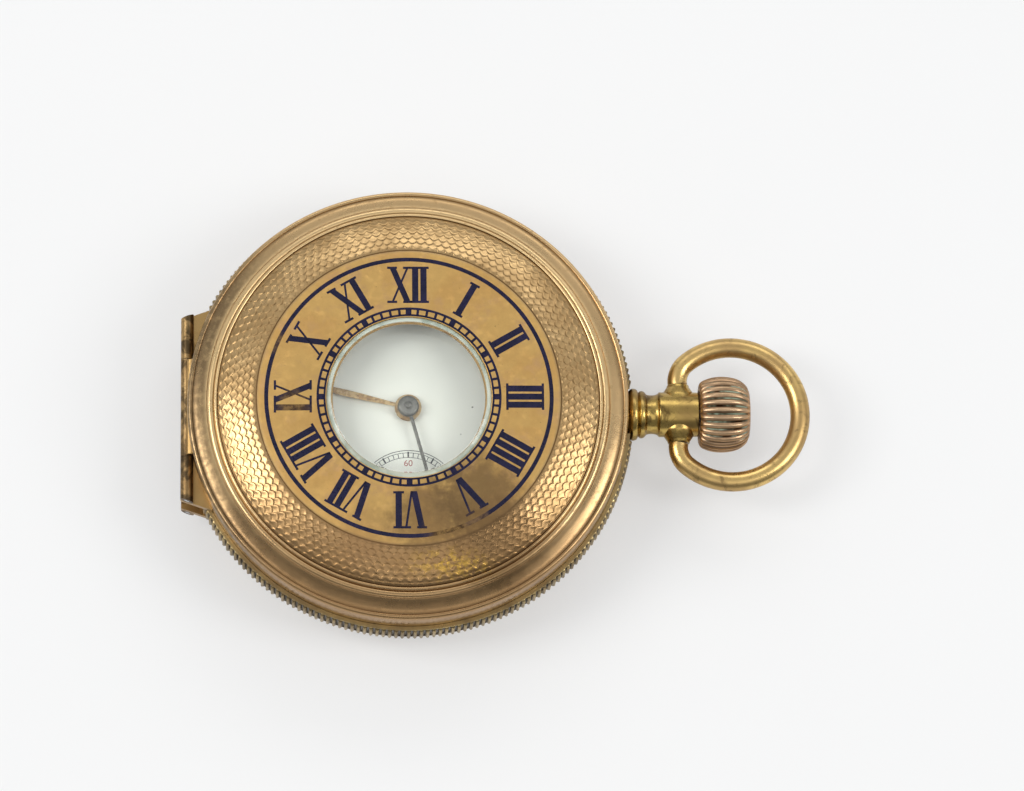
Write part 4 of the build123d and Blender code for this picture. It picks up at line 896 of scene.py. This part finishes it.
def small_figures(name, values, size, finish):
    """Figures round the seconds circle, feet to its centre."""
    work = bmesh.new()
    for value in values:
        line = bpy.data.curves.new("figure", "FONT")
        line.body, line.size, line.align_x, line.align_y = str(value), size * MM, "CENTER", "CENTER"
        holder = placed("figure", line)
        mesh = worked_out(holder)
        bpy.data.objects.remove(holder)
        middle = (seconds_at[0] * MM, seconds_at[1] * MM, (dial_top + proud) * MM)
        mesh.transform(Matrix.Translation(middle) @ Matrix.Rotation(-2 * pi * value / 60, 4, "Z")
                       @ Matrix.Translation((0, figure_ring * MM, 0)))
        work.from_mesh(mesh)
    made = bmesh.ops.extrude_face_region(work, geom=work.faces[:])["geom"]
    bmesh.ops.translate(work, vec=(0, 0, -print_depth * MM),
                        verts=[v for v in made if isinstance(v, bmesh.types.BMVert)])
    bmesh.ops.recalc_face_normals(work, faces=work.faces)
    whole = bpy.data.meshes.new(name)
    work.to_mesh(whole)
    work.free()
    on_dial(placed(name, whole), finish)


small_figures("seconds_sixty", [60], 0.95, print_red)
small_figures("seconds_tens", [10, 20, 30, 40, 50], 0.8, print_black)
print("seconds circle at", seconds_at)

# %% [markdown]
# ## The hands
# The hour hand is a narrow gilt leaf whose gilding has corroded to beige and brown. The minute hand
# is a thin grey bar on a domed steel hub with a dot in the middle. Each gets a shallow ridge along
# its length, because a flat strip would look like paper under the glass.

# %% Hands
def hand_piece(name, stations, low, thickness, heading, centre=(0, 0)):
    """Blade from (distance, half width) stations with a ridge, turned to a clock heading."""
    turn, ridge = radians(-heading), low + thickness * 0.55
    rows = [(x, along, z) for along, half in stations for x, z in (
        (-half, low), (-half, ridge), (0, low + thickness), (half, ridge), (half, low))]
    points = [(centre[0] + x * cos(turn) - y * sin(turn), centre[1] + x * sin(turn) + y * cos(turn), z)
              for x, y, z in rows]
    return mesh_piece(name, points, tube_faces(len(stations), 5))


def corroded_leaf():
    f = Finish("corroded_gilt_hand", metallic=0.55, roughness=0.42)
    patch = f.noise(1500, 4, 0.7)
    colour = f.layers((206, 176, 128), (f.step(patch, 0.42, 0.58), (168, 132, 88)),
                      (f.step(f.noise(3000, 3, 0.6), 0.58, 0.7, 0.0, 0.8), (112, 86, 60)))
    return f.done(colour, f.step(patch, 0.3, 0.7, 0.3, 0.6), f.relief(patch, 0.02, 0.6))


def grey_steel(name, light, dark, roughness=0.22):
    f = Finish(name, metallic=0.9, roughness=roughness)
    fine = f.noise(1200, 4, 0.6)
    return f.done(f.mix(f.step(fine, 0.4, 0.7), light, dark),
                  f.step(fine, 0.3, 0.7, roughness - 0.05, roughness + 0.12),
                  f.relief(f.noise(3200, 2), 0.004, 0.5))


leaf_gilt = corroded_leaf()
hand_steel = grey_steel("grey_hand_steel", (128, 126, 120), (98, 96, 90), 0.45)
hour_top, hour_foot = top_and_bottom("hour_hand")
minute_top, minute_foot = top_and_bottom("minute_hand")
second_top, second_foot = top_and_bottom("seconds_hand")
hour_blade = hand_piece("hour_leaf", [(1.0, 0.19), (2.0, 0.2), (3.4, 0.26), (5.0, 0.33), (6.6, 0.36),
                                      (8.2, 0.34), (9.8, 0.24), (11.0, 0.1), (11.5, 0.03)],
                        hour_foot, hour_top - hour_foot, 283.5)
hour_boss = turned_piece("hour_boss", raised(hour_foot, [(0.76, 0.0), (1.38, 0.0), (1.42, 0.06)])
                         + [(1.38, hour_top), (0.76, hour_top)], 64)
minute_blade = hand_piece("minute_blade", [(0.8, 0.2), (2.0, 0.19), (6.0, 0.18), (11.0, 0.16),
                                           (15.0, 0.12), (15.8, 0.03)], minute_foot + 0.01, 0.14, 164.5)
hub = turned_piece("minute_hub", raised(minute_top, [
    (0.0, -0.3), (0.0, 0.0), (0.2, -0.01), (0.27, -0.06), (0.3, -0.16), (0.42, -0.17), (0.46, -0.09),
    (0.82, -0.12), (1.02, -0.2), (1.12, -0.33)]) + raised(minute_foot, [
        (1.13, 0.05), (1.08, 0.0), (0.46, 0.0)]) + [(0.44, minute_top - 0.3)], 96)
seconds_blade = hand_piece("seconds_blade", [(-1.5, 0.1), (0.0, 0.12), (2.0, 0.09), (4.6, 0.04)],
                           second_foot, 0.12, 118.0, seconds_at)
seconds_boss = turned_piece("seconds_boss", raised(second_foot, [(0.0, 0.0), (0.42, 0.0), (0.42, 0.1)])
                            + [(0.2, second_top), (0.0, second_top)], 40, seconds_at)
for body, finish, slot, node, pieces in (
        ("hour", leaf_gilt, "gold_hand", "hour_hand", (hour_blade, hour_boss)),
        ("cannon", hand_steel, "steel", "minute_hand", (minute_blade, hub)),
        ("fourth_wheel", hand_steel, "steel", "seconds_hand", (seconds_blade, seconds_boss))):
    for piece in pieces:
        coat(piece, finish)
        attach(piece, body)
    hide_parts(node)
print("hands dressed")

# %% [markdown]
# ## The milled edge
# Round the case runs a band of fine upright ribs, about 0.7 mm apart, worn bright on their crests
# with painted shade between them. It is the clearest case for copying: one rounded rib is drawn and
# the tree sets 224 of them on a plain ring.

# %% Milled band
rib_count = 224
band_core = band_radius - 0.34
band_mid = (band_foot + band_top) / 2
band_half = (band_top - band_foot) / 2


def rib_mesh(half_width=0.25):
    """One upright rib at 12 o'clock, rounded across and at both ends."""
    root = band_core - 0.05
    across = [(-1, 0), (-0.75, 0.62), (-0.3, 0.97), (0.3, 0.97), (0.75, 0.62), (1, 0)]
    upper = [(band_half - 0.3, 1.0), (band_half - 0.12, 0.7), (band_half - 0.02, 0.0)]
    rows = [(-z, rise) for z, rise in reversed(upper)] + [(0.0, 1.0)] + upper
    points = [(half_width * x, root + (band_radius - root) * rise * y, band_mid + z)
              for z, rise in rows for x, y in across]
    return mesh_piece("rib", points, tube_faces(len(rows), len(across)))


def milled_gilt():
    f = Finish("milled_edge_gilt", roughness=0.3)
    height = f.parts()[2]
    # the crests and the band's top and foot keep the gilt; the roots between the ribs are painted shade
    crest = f.most(f.step(f.around()[0], band_core + 0.02, band_radius - 0.06),
                   f.step(height, (band_top - 0.12) * MM, (band_top - 0.06) * MM),
                   f.step(height, (band_foot + 0.12) * MM, (band_foot + 0.06) * MM))
    clouds = f.noise(260, 4, 0.6)
    bright = f.mix(f.step(clouds, 0.4, 0.65), (180, 158, 112), (142, 122, 88))
    return f.done(f.mix(crest, (58, 46, 30), bright), f.step(clouds, 0.3, 0.7, 0.26, 0.42),
                  f.relief(f.noise(1800, 3), 0.01, 0.4))


edge_gilt = milled_gilt()
ribs = round_copies("milled_ribs", rib_mesh(), rib_count, edge_gilt)
case_radius = lid_radius + 0.03
pendant_room = 2.95
edge_line = [(case_radius, 0.0), (band_core, 0.0), (band_core + 0.06, 0.08), (band_core, 0.16)]
core = turned_piece("milled_band_core", raised(band_foot, edge_line)
                    + [(r, band_top - z) for r, z in reversed(edge_line)], 224)
for piece, start in ((ribs, 24.0), (core, 23.0)):
    cut_away(piece, [rod("pendant_room", pendant_room, (start, 0, stem_level), (26.0, 0, stem_level), 64)])
    coat(piece, edge_gilt)
    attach(piece, "case")
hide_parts("milled_band")
print("ribs:", rib_count, "faces:", len(ribs.data.polygons))

# %% [markdown]
# ## Pendant
# The pendant is the short tube that joins the case to the crown. It is turned about its own axis,
# so the same lathe helper is used with the profile laid along X. Two rounded rings sit against the
# case, then a neck, then a plain barrel with a conical boss on each side for the bow.

# %% Pendant
bow_pivot = 30.0
boss_reach = pendant_high[1]
barrel_end = crown_low[0] - 0.1


def turned_along_x(name, profile, steps=96):
    """Closed profile of (x, radius) points, turned about the crown's axis."""
    points = [(x, y, stem_level + z) for x, r in profile for y, z in circle(r, steps)]
    return mesh_piece(name, points, lathe_faces(len(profile), steps))


def boss(name, side, steps=64):
    """Conical boss with a rounded shoulder, along Y at the bow's pivot."""
    profile = [(1.95, 1.2), (1.92, 1.9), (1.86, 2.1), (1.62, 2.5), (1.36, 2.9), (1.24, 3.08),
               (1.22, boss_reach - 0.06), (1.16, boss_reach), (0.66, boss_reach), (0.66, 1.2)]
    points = [(bow_pivot + x, side * y, stem_level + z) for r, y in profile for x, z in circle(r, steps)]
    return mesh_piece(name, points, lathe_faces(len(profile), steps))


pendant_line = [(pendant_low[0], 1.1), (pendant_low[0], 1.7), (24.0, 1.7), (24.02, 2.32)]
pendant_line += rounded([(24.36, 2.33), (24.5, 2.6), (24.75, 2.84), (25.05, 2.88), (25.35, 2.76),
                         (25.5, 2.52)], 4)
pendant_line += rounded([(25.56, 2.44), (25.7, 2.58), (25.95, 2.62), (26.2, 2.52), (26.36, 2.34)], 4)
pendant_line += rounded([(26.45, 2.22), (26.9, 2.14), (27.4, 2.18), (27.7, 2.3)], 3)
pendant_line += [(27.78, 2.4), (27.86, 2.47), (27.98, 2.48), (barrel_end - 0.1, 2.46),
                 (barrel_end, 2.38), (barrel_end, 1.1)]
pendant = turned_along_x("turned_pendant", pendant_line)
for piece in (pendant, boss("pendant_boss_upper", 1), boss("pendant_boss_lower", -1)):
    coat(piece, pendant_gilt)
    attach(piece, "case")
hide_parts("pendant_tube")
print("pendant to x = %.2f" % barrel_end)

# %% [markdown]
# ## Crown
# The winding crown is shaped like an onion and cut with rounded flutes for the thumb. Its radius
# follows a rule: a smooth line along the axis, times one minus a small dip between the ribs. So
# the whole skin is one grid of points. Green verdigris sits in the grooves, and the ribs are a
# rosy brown where the gilding has gone. A painted highlight lies on the tops of the ribs, and
# painted shade in the grooves.

# %% Crown
flute_count = 28
flute_depth = 0.085
crown_line = [(0.0, 0.78), (0.03, 0.85), (0.1, 0.91), (0.25, 0.975), (0.42, 1.0), (0.6, 0.985),
              (0.76, 0.93), (0.88, 0.83), (0.95, 0.73)]
crown_from, crown_to = crown_low[0], crown_high[0]
crown_radius = crown_high[1]


def crown_piece(steps=flute_count * 12):
    length = crown_to - crown_from
    hollow = [(crown_from + x, r) for x, r in (
        (2.7, 0.0), (2.7, 0.85), (0.7, 0.85), (0.7, 2.62), (0.0, 2.66))]
    skin = rounded([(crown_from + x * length, crown_radius * share) for x, share in crown_line], 4)
    cap = [(crown_to - x, crown_radius * share) for x, share in (
        (0.16, 0.655), (0.08, 0.62), (0.02, 0.5), (0.0, 0.3), (0.0, 0.0))]
    flutes = [1 - flute_depth * (1 - abs(sin(pi * flute_count * s / steps)) ** 0.75)
              for s in range(steps)]
    points = []
    for line, shares in ((hollow, [1.0] * steps), (skin, flutes), (cap, [1.0] * steps)):
        for x, r in line:
            points += [(x, y * share, stem_level + z * share)
                       for share, (y, z) in zip(shares, circle(r, steps))]
    return mesh_piece("fluted_crown", points, lathe_faces(len(hollow + skin + cap), steps))


def crown_brass():
    f = Finish("rosy_crown_brass", roughness=0.34)
    x, y, z = f.parts()
    up = f.minus(z, stem_level * MM)
    out = f.math("SQRT", f.plus(f.times(y, y), f.times(up, up)))
    rib = f.math("ABSOLUTE", f.math("SINE", f.times(f.math("ARCTAN2", up, y), flute_count / 2)))
    side = f.times(f.step(out, 2.9 * MM, 3.2 * MM),
                   f.step(x, (crown_from + 0.4) * MM, (crown_from + 0.8) * MM))
    clouds = f.noise(420, 4, 0.6)
    green = f.step(f.noise(360, 3, 0.6), 0.46, 0.6)
    verdigris = f.times(f.step(rib, 0.2, 0.45, 1.0, 0.0), side, green)
    # painted highlight on the tops of the ribs, painted shade in the grooves beside the verdigris
    colour = f.layers(
        (188, 154, 120), (f.step(clouds, 0.38, 0.66), (152, 124, 96)),
        (f.step(rib, 0.82, 1.0, 0.0, 0.45), (222, 190, 150)),
        (f.times(f.step(rib, 0.28, 0.62, 1.0, 0.0), side, 0.85), (74, 58, 42)),
        (verdigris, (158, 170, 148)))
    rough = f.plus(f.step(clouds, 0.3, 0.7, 0.28, 0.42), f.times(verdigris, 0.35))
    metal = f.minus(1.0, f.times(verdigris, 0.9))
    return f.done(colour, rough, f.relief(f.noise(2200, 3), 0.008, 0.5), metal)


crown = crown_piece()
coat(crown, crown_brass())
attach(crown, "crown")
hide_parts("crown")
print("crown faces:", len(crown.data.polygons))

# %% [markdown]
# ## Bow
# The bow is one round wire bent to a ring, with both ends turned in towards the bosses. Its centre
# line is an arc that runs on into two short smooth bends, and a circle of points is set at right
# angles to it at every step.

# %% Bow
bow_low, bow_high = box_mm("bow")
bow_wire = (bow_high[2] - bow_low[2]) / 2
bow_ring = bow_high[1] - bow_wire
bow_centre = bow_high[0] - bow_wire - bow_ring
ring_turn, ring_steps = radians(132), 56
eye = boss_reach + 0.05


def bend(start, lead, arrive, end, steps=8):
    """Smooth bend from start to end, without its last point."""
    line = []
    for t in (k / steps for k in range(steps)):
        shares = (1 - t) ** 3, 3 * t * (1 - t) ** 2, 3 * t * t * (1 - t), t ** 3
        line.append(tuple(sum(s * p[n] for s, p in zip(shares, (start, lead, arrive, end)))
                          for n in (0, 1)))
    return line


def wire_mesh(name, line, radius, steps=32):
    """Round wire along a flat line, closed at both ends."""
    points = []
    for k, (x, y) in enumerate(line):
        before, after = line[max(k - 1, 0)], line[min(k + 1, len(line) - 1)]
        along = Vector((after[0] - before[0], after[1] - before[1])).normalized()
        points += [(x - along.y * out, y + along.x * out, stem_level + z)
                   for out, z in circle(radius, steps)]
    return mesh_piece(name, points, tube_faces(len(line), steps))


ring_points = [(bow_centre + bow_ring * cos(a), bow_ring * sin(a)) for a in (
    ring_turn * (1 - 2 * k / ring_steps) for k in range(ring_steps + 1))]
ring_end = ring_points[0]
lead_out = (ring_end[0] - 0.8 * sin(ring_turn), ring_end[1] + 0.8 * cos(ring_turn))
upper_bend = bend((bow_pivot, eye), (bow_pivot - 0.2, eye + 0.7), lead_out, ring_end)
bow = wire_mesh("bow_ring", upper_bend + ring_points + [(x, -y) for x, y in reversed(upper_bend)], bow_wire)
coat(bow, bow_gilt)
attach(bow, "bow")
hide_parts("bow")
print("bow centre x = %.2f, ring %.2f, wire %.2f" % (bow_centre, bow_ring, bow_wire))

# %% [markdown]
# ## Back cover
# The back is a shallow bowl whose edge rolls over in one soft curve, so it is turned again from a
# smooth line. The hinge groove and two notches for the inner cover's tabs are cut out. Outside it
# is engine turned like the front, round a plain shield, which is a guess, because the back rests
# on the table.

# %% Back cover
back_tube_top, back_tube_foot = top_and_bottom("back_hinge_case_tubes")
back_hinge_z = (back_tube_foot + back_tube_top) / 2
back_line = rounded([(11.0, 0.0), (13.0, 0.01), (15.5, 0.07), (18.0, 0.24), (20.2, 0.56), (22.0, 1.05),
                     (23.2, 1.66), (23.9, 2.3), (24.16, 2.9), (lid_radius, 3.5)], 5)
pan_line = rounded([(lid_radius - wall, 3.3), (lid_radius - 1.1, 2.7), (22.4, 2.0), (20.5, 1.3),
                    (17.0, 0.85), (11.0, 0.62)], 5)
sink = 0.06
knuckle, notch = 3.9, 3.0


def back_height(radius):
    """Height of the sunk zone of the back at a radius."""
    return sink + height_on([(0.0, 0.0)] + back_line, radius)


def back_gilt():
    f = Finish("engine_turned_back_gilt")
    radius, angle = f.around()
    past, scales = engraved_scales(f, radius, angle)
    # only the outside is engraved: it is told from the inside by its height
    level = f.minus(f.math("DIVIDE", f.parts()[2], MM), f.times(radius, 0.02))
    outside = f.step(level, 0.38, 0.5, 1.0, 0.0)
    zone = f.times(f.step(radius, 8.2, 8.4), f.step(radius, 20.0, 20.2, 1.0, 0.0), outside)
    # painted shade at the foot of each scale's arc; the loop below adds four dark rings
    groove = f.times(f.step(past, 0.05, 0.14, 0.7, 0.0), zone)
    for at in (7.6, 7.95, 20.45, 20.8):
        groove = f.most(groove, f.times(f.step(f.away(radius, at), 0.03, 0.1, 0.8, 0.0), outside))
    clouds, fine = f.noise(190, 4, 0.6), f.noise(1500, 4, 0.6)
    colour = f.layers(
        (208, 174, 120), (f.step(clouds, 0.36, 0.64), (182, 150, 102)),
        (f.step(fine, 0.55, 0.8, 0.0, 0.5), (142, 110, 74)), (groove, (108, 80, 48)))
    rubbed = f.step(f.noise(75, 3), 0.5, 0.7, 0.0, 0.7)
    return scaled_finish(f, colour, clouds, fine, f.times(scales, zone, f.minus(1.0, rubbed)))


outer_line = [(0.0, 0.0), (8.1, 0.0), (8.18, sink)] + raised(sink, [p for p in back_line if p[0] < 20.2])
outer_line += [(20.24, back_height(20.24)), (20.32, back_height(20.32) - sink)]
outer_line += [p for p in back_line if p[0] > 20.4] + [(lid_radius, back_rim), (lid_radius - wall, back_rim)]
back = turned_piece("turned_back_cover", outer_line + pan_line + [(0.0, 0.6)], 256)
back_scales = scaled_skin("back_scales", 8.22, 20.2, back_height, 116, columns=5, side=-1)
notches = [box_piece("notch", (-25.0, y, back_hinge_z - 0.67), (2.85 - lid_radius, y + notch, back_rim + 0.1))
           for y in (-knuckle - notch, knuckle)]
cut_away(back, [hinge_groove(back_hinge_z)] + notches)
back_lug = box_piece("back_hinge_lug", (hinge_x + 0.05, 0.05 - knuckle, back_hinge_z - 1.45),
                     (hinge_x + 0.95, knuckle - 0.05, back_rim - 0.02))
cut_away(back_lug, [rod("tube", hinge_radius + 0.02, (hinge_x, -5, back_hinge_z),
                        (hinge_x, 5, back_hinge_z))])
turned_gilt = back_gilt()
for piece, finish in ((back, turned_gilt), (back_scales, turned_gilt), (back_lug, hinge_gilt)):
    coat(piece, finish)
    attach(piece, "back_cover")
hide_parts("back_cover")
print("back cover faces:", len(back.data.polygons), "scale faces:", len(back_scales.data.polygons))

# %% [markdown]
# ## Screws of the movement
# Eleven screws hold the movement. One slotted head with a rounded edge is made, a Geometry Nodes
# tree sets it on points, and each copy is turned by its own random angle with a fixed seed. The
# points are found in the solids: each separate disc there is one screw.

# %% Slotted heads
def separate_discs(node):
    """Place, radius and height of every separate disc of a node, in millimetres."""
    work = bmesh.new()
    work.from_mesh(bpy.data.objects[node].data)
    bmesh.ops.remove_doubles(work, verts=work.verts, dist=1e-6)
    reached, found = set(), []
    for first in work.verts:
        if first in reached:
            continue
        group, walk = [], [first]
        reached.add(first)
        while walk:
            vert = walk.pop()
            group.append(vert.co / MM)
            for edge in vert.link_edges:
                other = edge.other_vert(vert)
                if other not in reached:
                    reached.add(other)
                    walk.append(other)
        low, high = [[pick(co[n] for co in group) for n in range(3)] for pick in (min, max)]
        place = ((low[0] + high[0]) / 2, (low[1] + high[1]) / 2, low[2])
        found.append((place, (high[0] - low[0]) / 2, high[2] - low[2]))
    work.free()
    return found


def slotted_head(radius, height):
    """Screw head that looks down, with its slot, at the origin."""
    rim = radius * 0.985
    head = turned_piece("head", [(0.0, 0.0), (radius * 0.86, 0.0), (radius * 0.95, 0.03), (rim, 0.07),
                                 (rim, height), (0.0, height)], 48)
    slot = box_piece("slot", (-radius - 0.1, -0.11, -0.1), (radius + 0.1, 0.11, height * 0.5))
    return cut_away(head, [slot])


def scatter_tree():
    tree, given, copies = copying_tree("screws_on_points", Points="Geometry", Seed="Int")
    add, link = tree.nodes.new, tree.links.new
    dots, axis = add("GeometryNodeMeshToPoints"), add("ShaderNodeCombineXYZ")
    turn = add("FunctionNodeRandomValue")
    turn.data_type = "FLOAT"
    low, high = [s for s in turn.inputs if s.name in ("Min", "Max") and s.type == "VALUE"]
    low.default_value, high.default_value = 0.0, pi
    link(given["Points"], dots.inputs["Mesh"])
    link(given["Seed"], turn.inputs["Seed"])
    link(next(s for s in turn.outputs if s.type == "VALUE"), axis.inputs["Z"])
    link(dots.outputs[0], copies["Points"])
    link(axis.outputs[0], copies["Rotation"])
    return tree


def blue_steel():
    f = Finish("blued_screw_steel", roughness=0.2)
    tone = f.noise(500, 3)
    return f.done(f.mix(f.step(tone, 0.35, 0.7), (44, 66, 150), (70, 52, 120)),
                  f.step(tone, 0.3, 0.7, 0.16, 0.28), f.relief(f.noise(2600, 2), 0.003, 0.4))


screw_blue = blue_steel()
bright_steel = grey_steel("bright_screw_steel", (200, 200, 202), (168, 168, 172))
screws_on_points = scatter_tree()
for seed, (node, body, finish, slot) in enumerate((
        ("bridge_screws", "case", screw_blue, "blued_steel"), ("case_screws", "case", bright_steel, "steel"),
        ("crown_wheel_screw", "crown_wheel", screw_blue, "blued_steel"),
        ("ratchet_screw", "ratchet", screw_blue, "blued_steel")), start=3):
    discs = separate_discs(node)
    spots = bpy.data.meshes.new(node + "_spots")
    spots.from_pydata([tuple(v * MM for v in place) for place, _, _ in discs], [], [])
    head = slotted_head(*discs[0][1:])
    made = from_tree("slotted_" + node, screws_on_points,
                     {"Piece": head, "Seed": seed, "Finish": finish}, spots)
    bpy.data.objects.remove(head)
    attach(made, body)
    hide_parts(node)
    print(node, "heads:", len(discs), "faces:", len(made.data.polygons))

# %% [markdown]
# ## Finishes for the pieces that stay
# The solids of the case wall, hinges, covers and movement have the right shape already. They keep
# their meshes and get finishes: gilt for plates and wheels with fine grain, polished steel for
# arbors and levers, blue steel for screws and springs, and red stone for the jewels.

# %% Finishes of case and movement
def movement_gilt():
    f = Finish("matt_movement_gilt", roughness=0.34)
    grain = f.noise(3000, 4, 0.7)
    colour = f.mix(f.step(f.noise(160, 3), 0.35, 0.7), (222, 188, 118), (206, 170, 104))
    return f.done(colour, f.step(grain, 0.3, 0.7, 0.28, 0.42), f.relief(grain, 0.012, 0.5))


def striped_steel():
    f = Finish("striped_wheel_steel", roughness=0.22)
    x, y, _ = f.parts()
    sweep = f.math("SINE", f.times(f.plus(x, f.times(y, 0.6)), 5200.0))
    return f.done(f.mix(f.step(sweep, -1.0, 1.0), (206, 206, 208), (184, 184, 188)),
                  f.step(sweep, -1.0, 1.0, 0.18, 0.3), f.relief(sweep, 0.004, 0.3))


def red_stone():
    f = Finish("red_bearing_stone", metallic=0.0, roughness=0.08)
    tone = f.noise(700, 3)
    return f.done(f.mix(f.step(tone, 0.35, 0.7), (170, 24, 52), (140, 14, 40)),
                  f.step(tone, 0.3, 0.7, 0.06, 0.14))


wheel_steel = striped_steel()
slots = {row["node"]: row["material_slot"] for row in frame["record"]["subparts"]}
by_slot = {"gilt_movement": movement_gilt(), "red_stone": red_stone(), "blued_steel": screw_blue,
           "steel": grey_steel("polished_plain_steel", (196, 196, 198), (172, 172, 176)),
           "glass": crystal_clear, "brass_case": case_gilt, "brass_bow": bow_gilt,
           "gold_hand": leaf_gilt, "enamel_dial": dial_white}
special = {"cuvette": inner_gilt, "inner_bezel": inner_gilt, "ratchet_wheel": wheel_steel,
           "crown_wheel": wheel_steel, "cuvette_hinge_tubes": hinge_gilt}
for side in ("front", "back"):
    special.update({side + "_hinge_case_tubes": hinge_gilt, side + "_hinge_cover_tube": hinge_gilt})
for node in frame["nodes"]:
    coat(bpy.data.objects[node], special.get(node, by_slot[slots[node]]))
print("finishes on", len(frame["nodes"]), "solids")

# %% [markdown]
# ## Floor, light and camera
# The watch lies on white card in soft studio light. Two large lamps stand left and right, which
# gives the bright streaks at 9 and 3 o'clock, two softer ones stand at 12 and 6, and the sky fills
# the rest. To the camera alone the card shows partly its own white, so that shadows stay faint.
# The camera looks almost straight down, leaning a little from the 6 o'clock side.

# %% Floor
floor_half = 0.6
camera_share = 0.45
card_mesh = bpy.data.meshes.new("white_card")
card_mesh.from_pydata([(x * floor_half, y * floor_half, 0) for x, y in ((-1, -1), (1, -1), (1, 1), (-1, 1))],
                      [], [(0, 1, 2, 3)])
floor = placed("white_card", card_mesh)
card = Finish("white_card", metallic=0.0, roughness=0.9)
card.done(card.mix(card.noise(30, 3), (236, 236, 235), (233, 233, 232)))
seen = card.node("ShaderNodeLightPath").outputs["Is Camera Ray"]
glow = card.node("ShaderNodeEmission", {"Color": shade(247, 247, 247)})
coat(floor, card.show(card.times(seen, camera_share), card.shader.outputs[0], glow.outputs[0]))
print("card %.1f m wide" % (2 * floor_half))

# %% Light
world = bpy.data.worlds.new("soft_sky")
bpy.context.scene.world = world
world.use_nodes = True
tree = world.node_tree
sky = tree.nodes["Background"]
sky.inputs["Color"].default_value = (0.95, 0.97, 1.0, 1.0)
heading = tree.nodes.new("ShaderNodeTexCoord")
split = tree.nodes.new("ShaderNodeSeparateXYZ")
fade = tree.nodes.new("ShaderNodeMapRange")
for key, value in (("From Min", -0.75), ("From Max", 0.0), ("To Min", 0.24), ("To Max", 0.59)):
    fade.inputs[key].default_value = value
tree.links.new(heading.outputs["Generated"], split.inputs[0])
tree.links.new(split.outputs["Y"], fade.inputs["Value"])
tree.links.new(fade.outputs[0], sky.inputs["Strength"])
lamps = {"left_softbox": ((-0.5, 0.0, 0.62), (0.3, 0.42), 2.5),
         "right_softbox": ((0.52, -0.1, 0.55), (0.26, 0.4), 1.8),
         "far_softbox": ((0.14, 0.74, 0.62), (1.0, 0.4), 1.8),
         "near_softbox": ((0.05, -0.42, 0.85), (0.6, 0.5), 0.7)}
for name, (at, (width, depth), watts) in lamps.items():
    light = bpy.data.lights.new(name, "AREA")
    light.shape, light.size, light.size_y, light.energy = "RECTANGLE", width, depth, watts
    holder = placed(name, light)
    holder.location = at
    holder.rotation_euler = (-Vector(at)).to_track_quat("-Z", "Y").to_euler()
print("lamps:", len(lamps))

# %% Camera
picture_width = 1024
pixels_per_mm = 9.03
distance = 0.6
camera = placed("camera", bpy.data.cameras.new("camera"))
bpy.context.scene.camera = camera
aim = Vector((11.6, 2.2, 7.0)) * MM
lean = Vector((-0.045, -0.26, 1.0)).normalized()
camera.location = aim + lean * distance
right = Vector((1, 0, 0))
right = (right - lean * right.dot(lean)).normalized()
camera.rotation_euler = Matrix((right, lean.cross(right), lean)).transposed().to_euler()
camera.data.sensor_width = 36.0
camera.data.lens = pixels_per_mm * camera.data.sensor_width * distance / MM / picture_width
camera.data.clip_end = 5.0
bpy.context.scene.view_settings.view_transform = "Standard"
print("lens %.0f mm" % camera.data.lens)
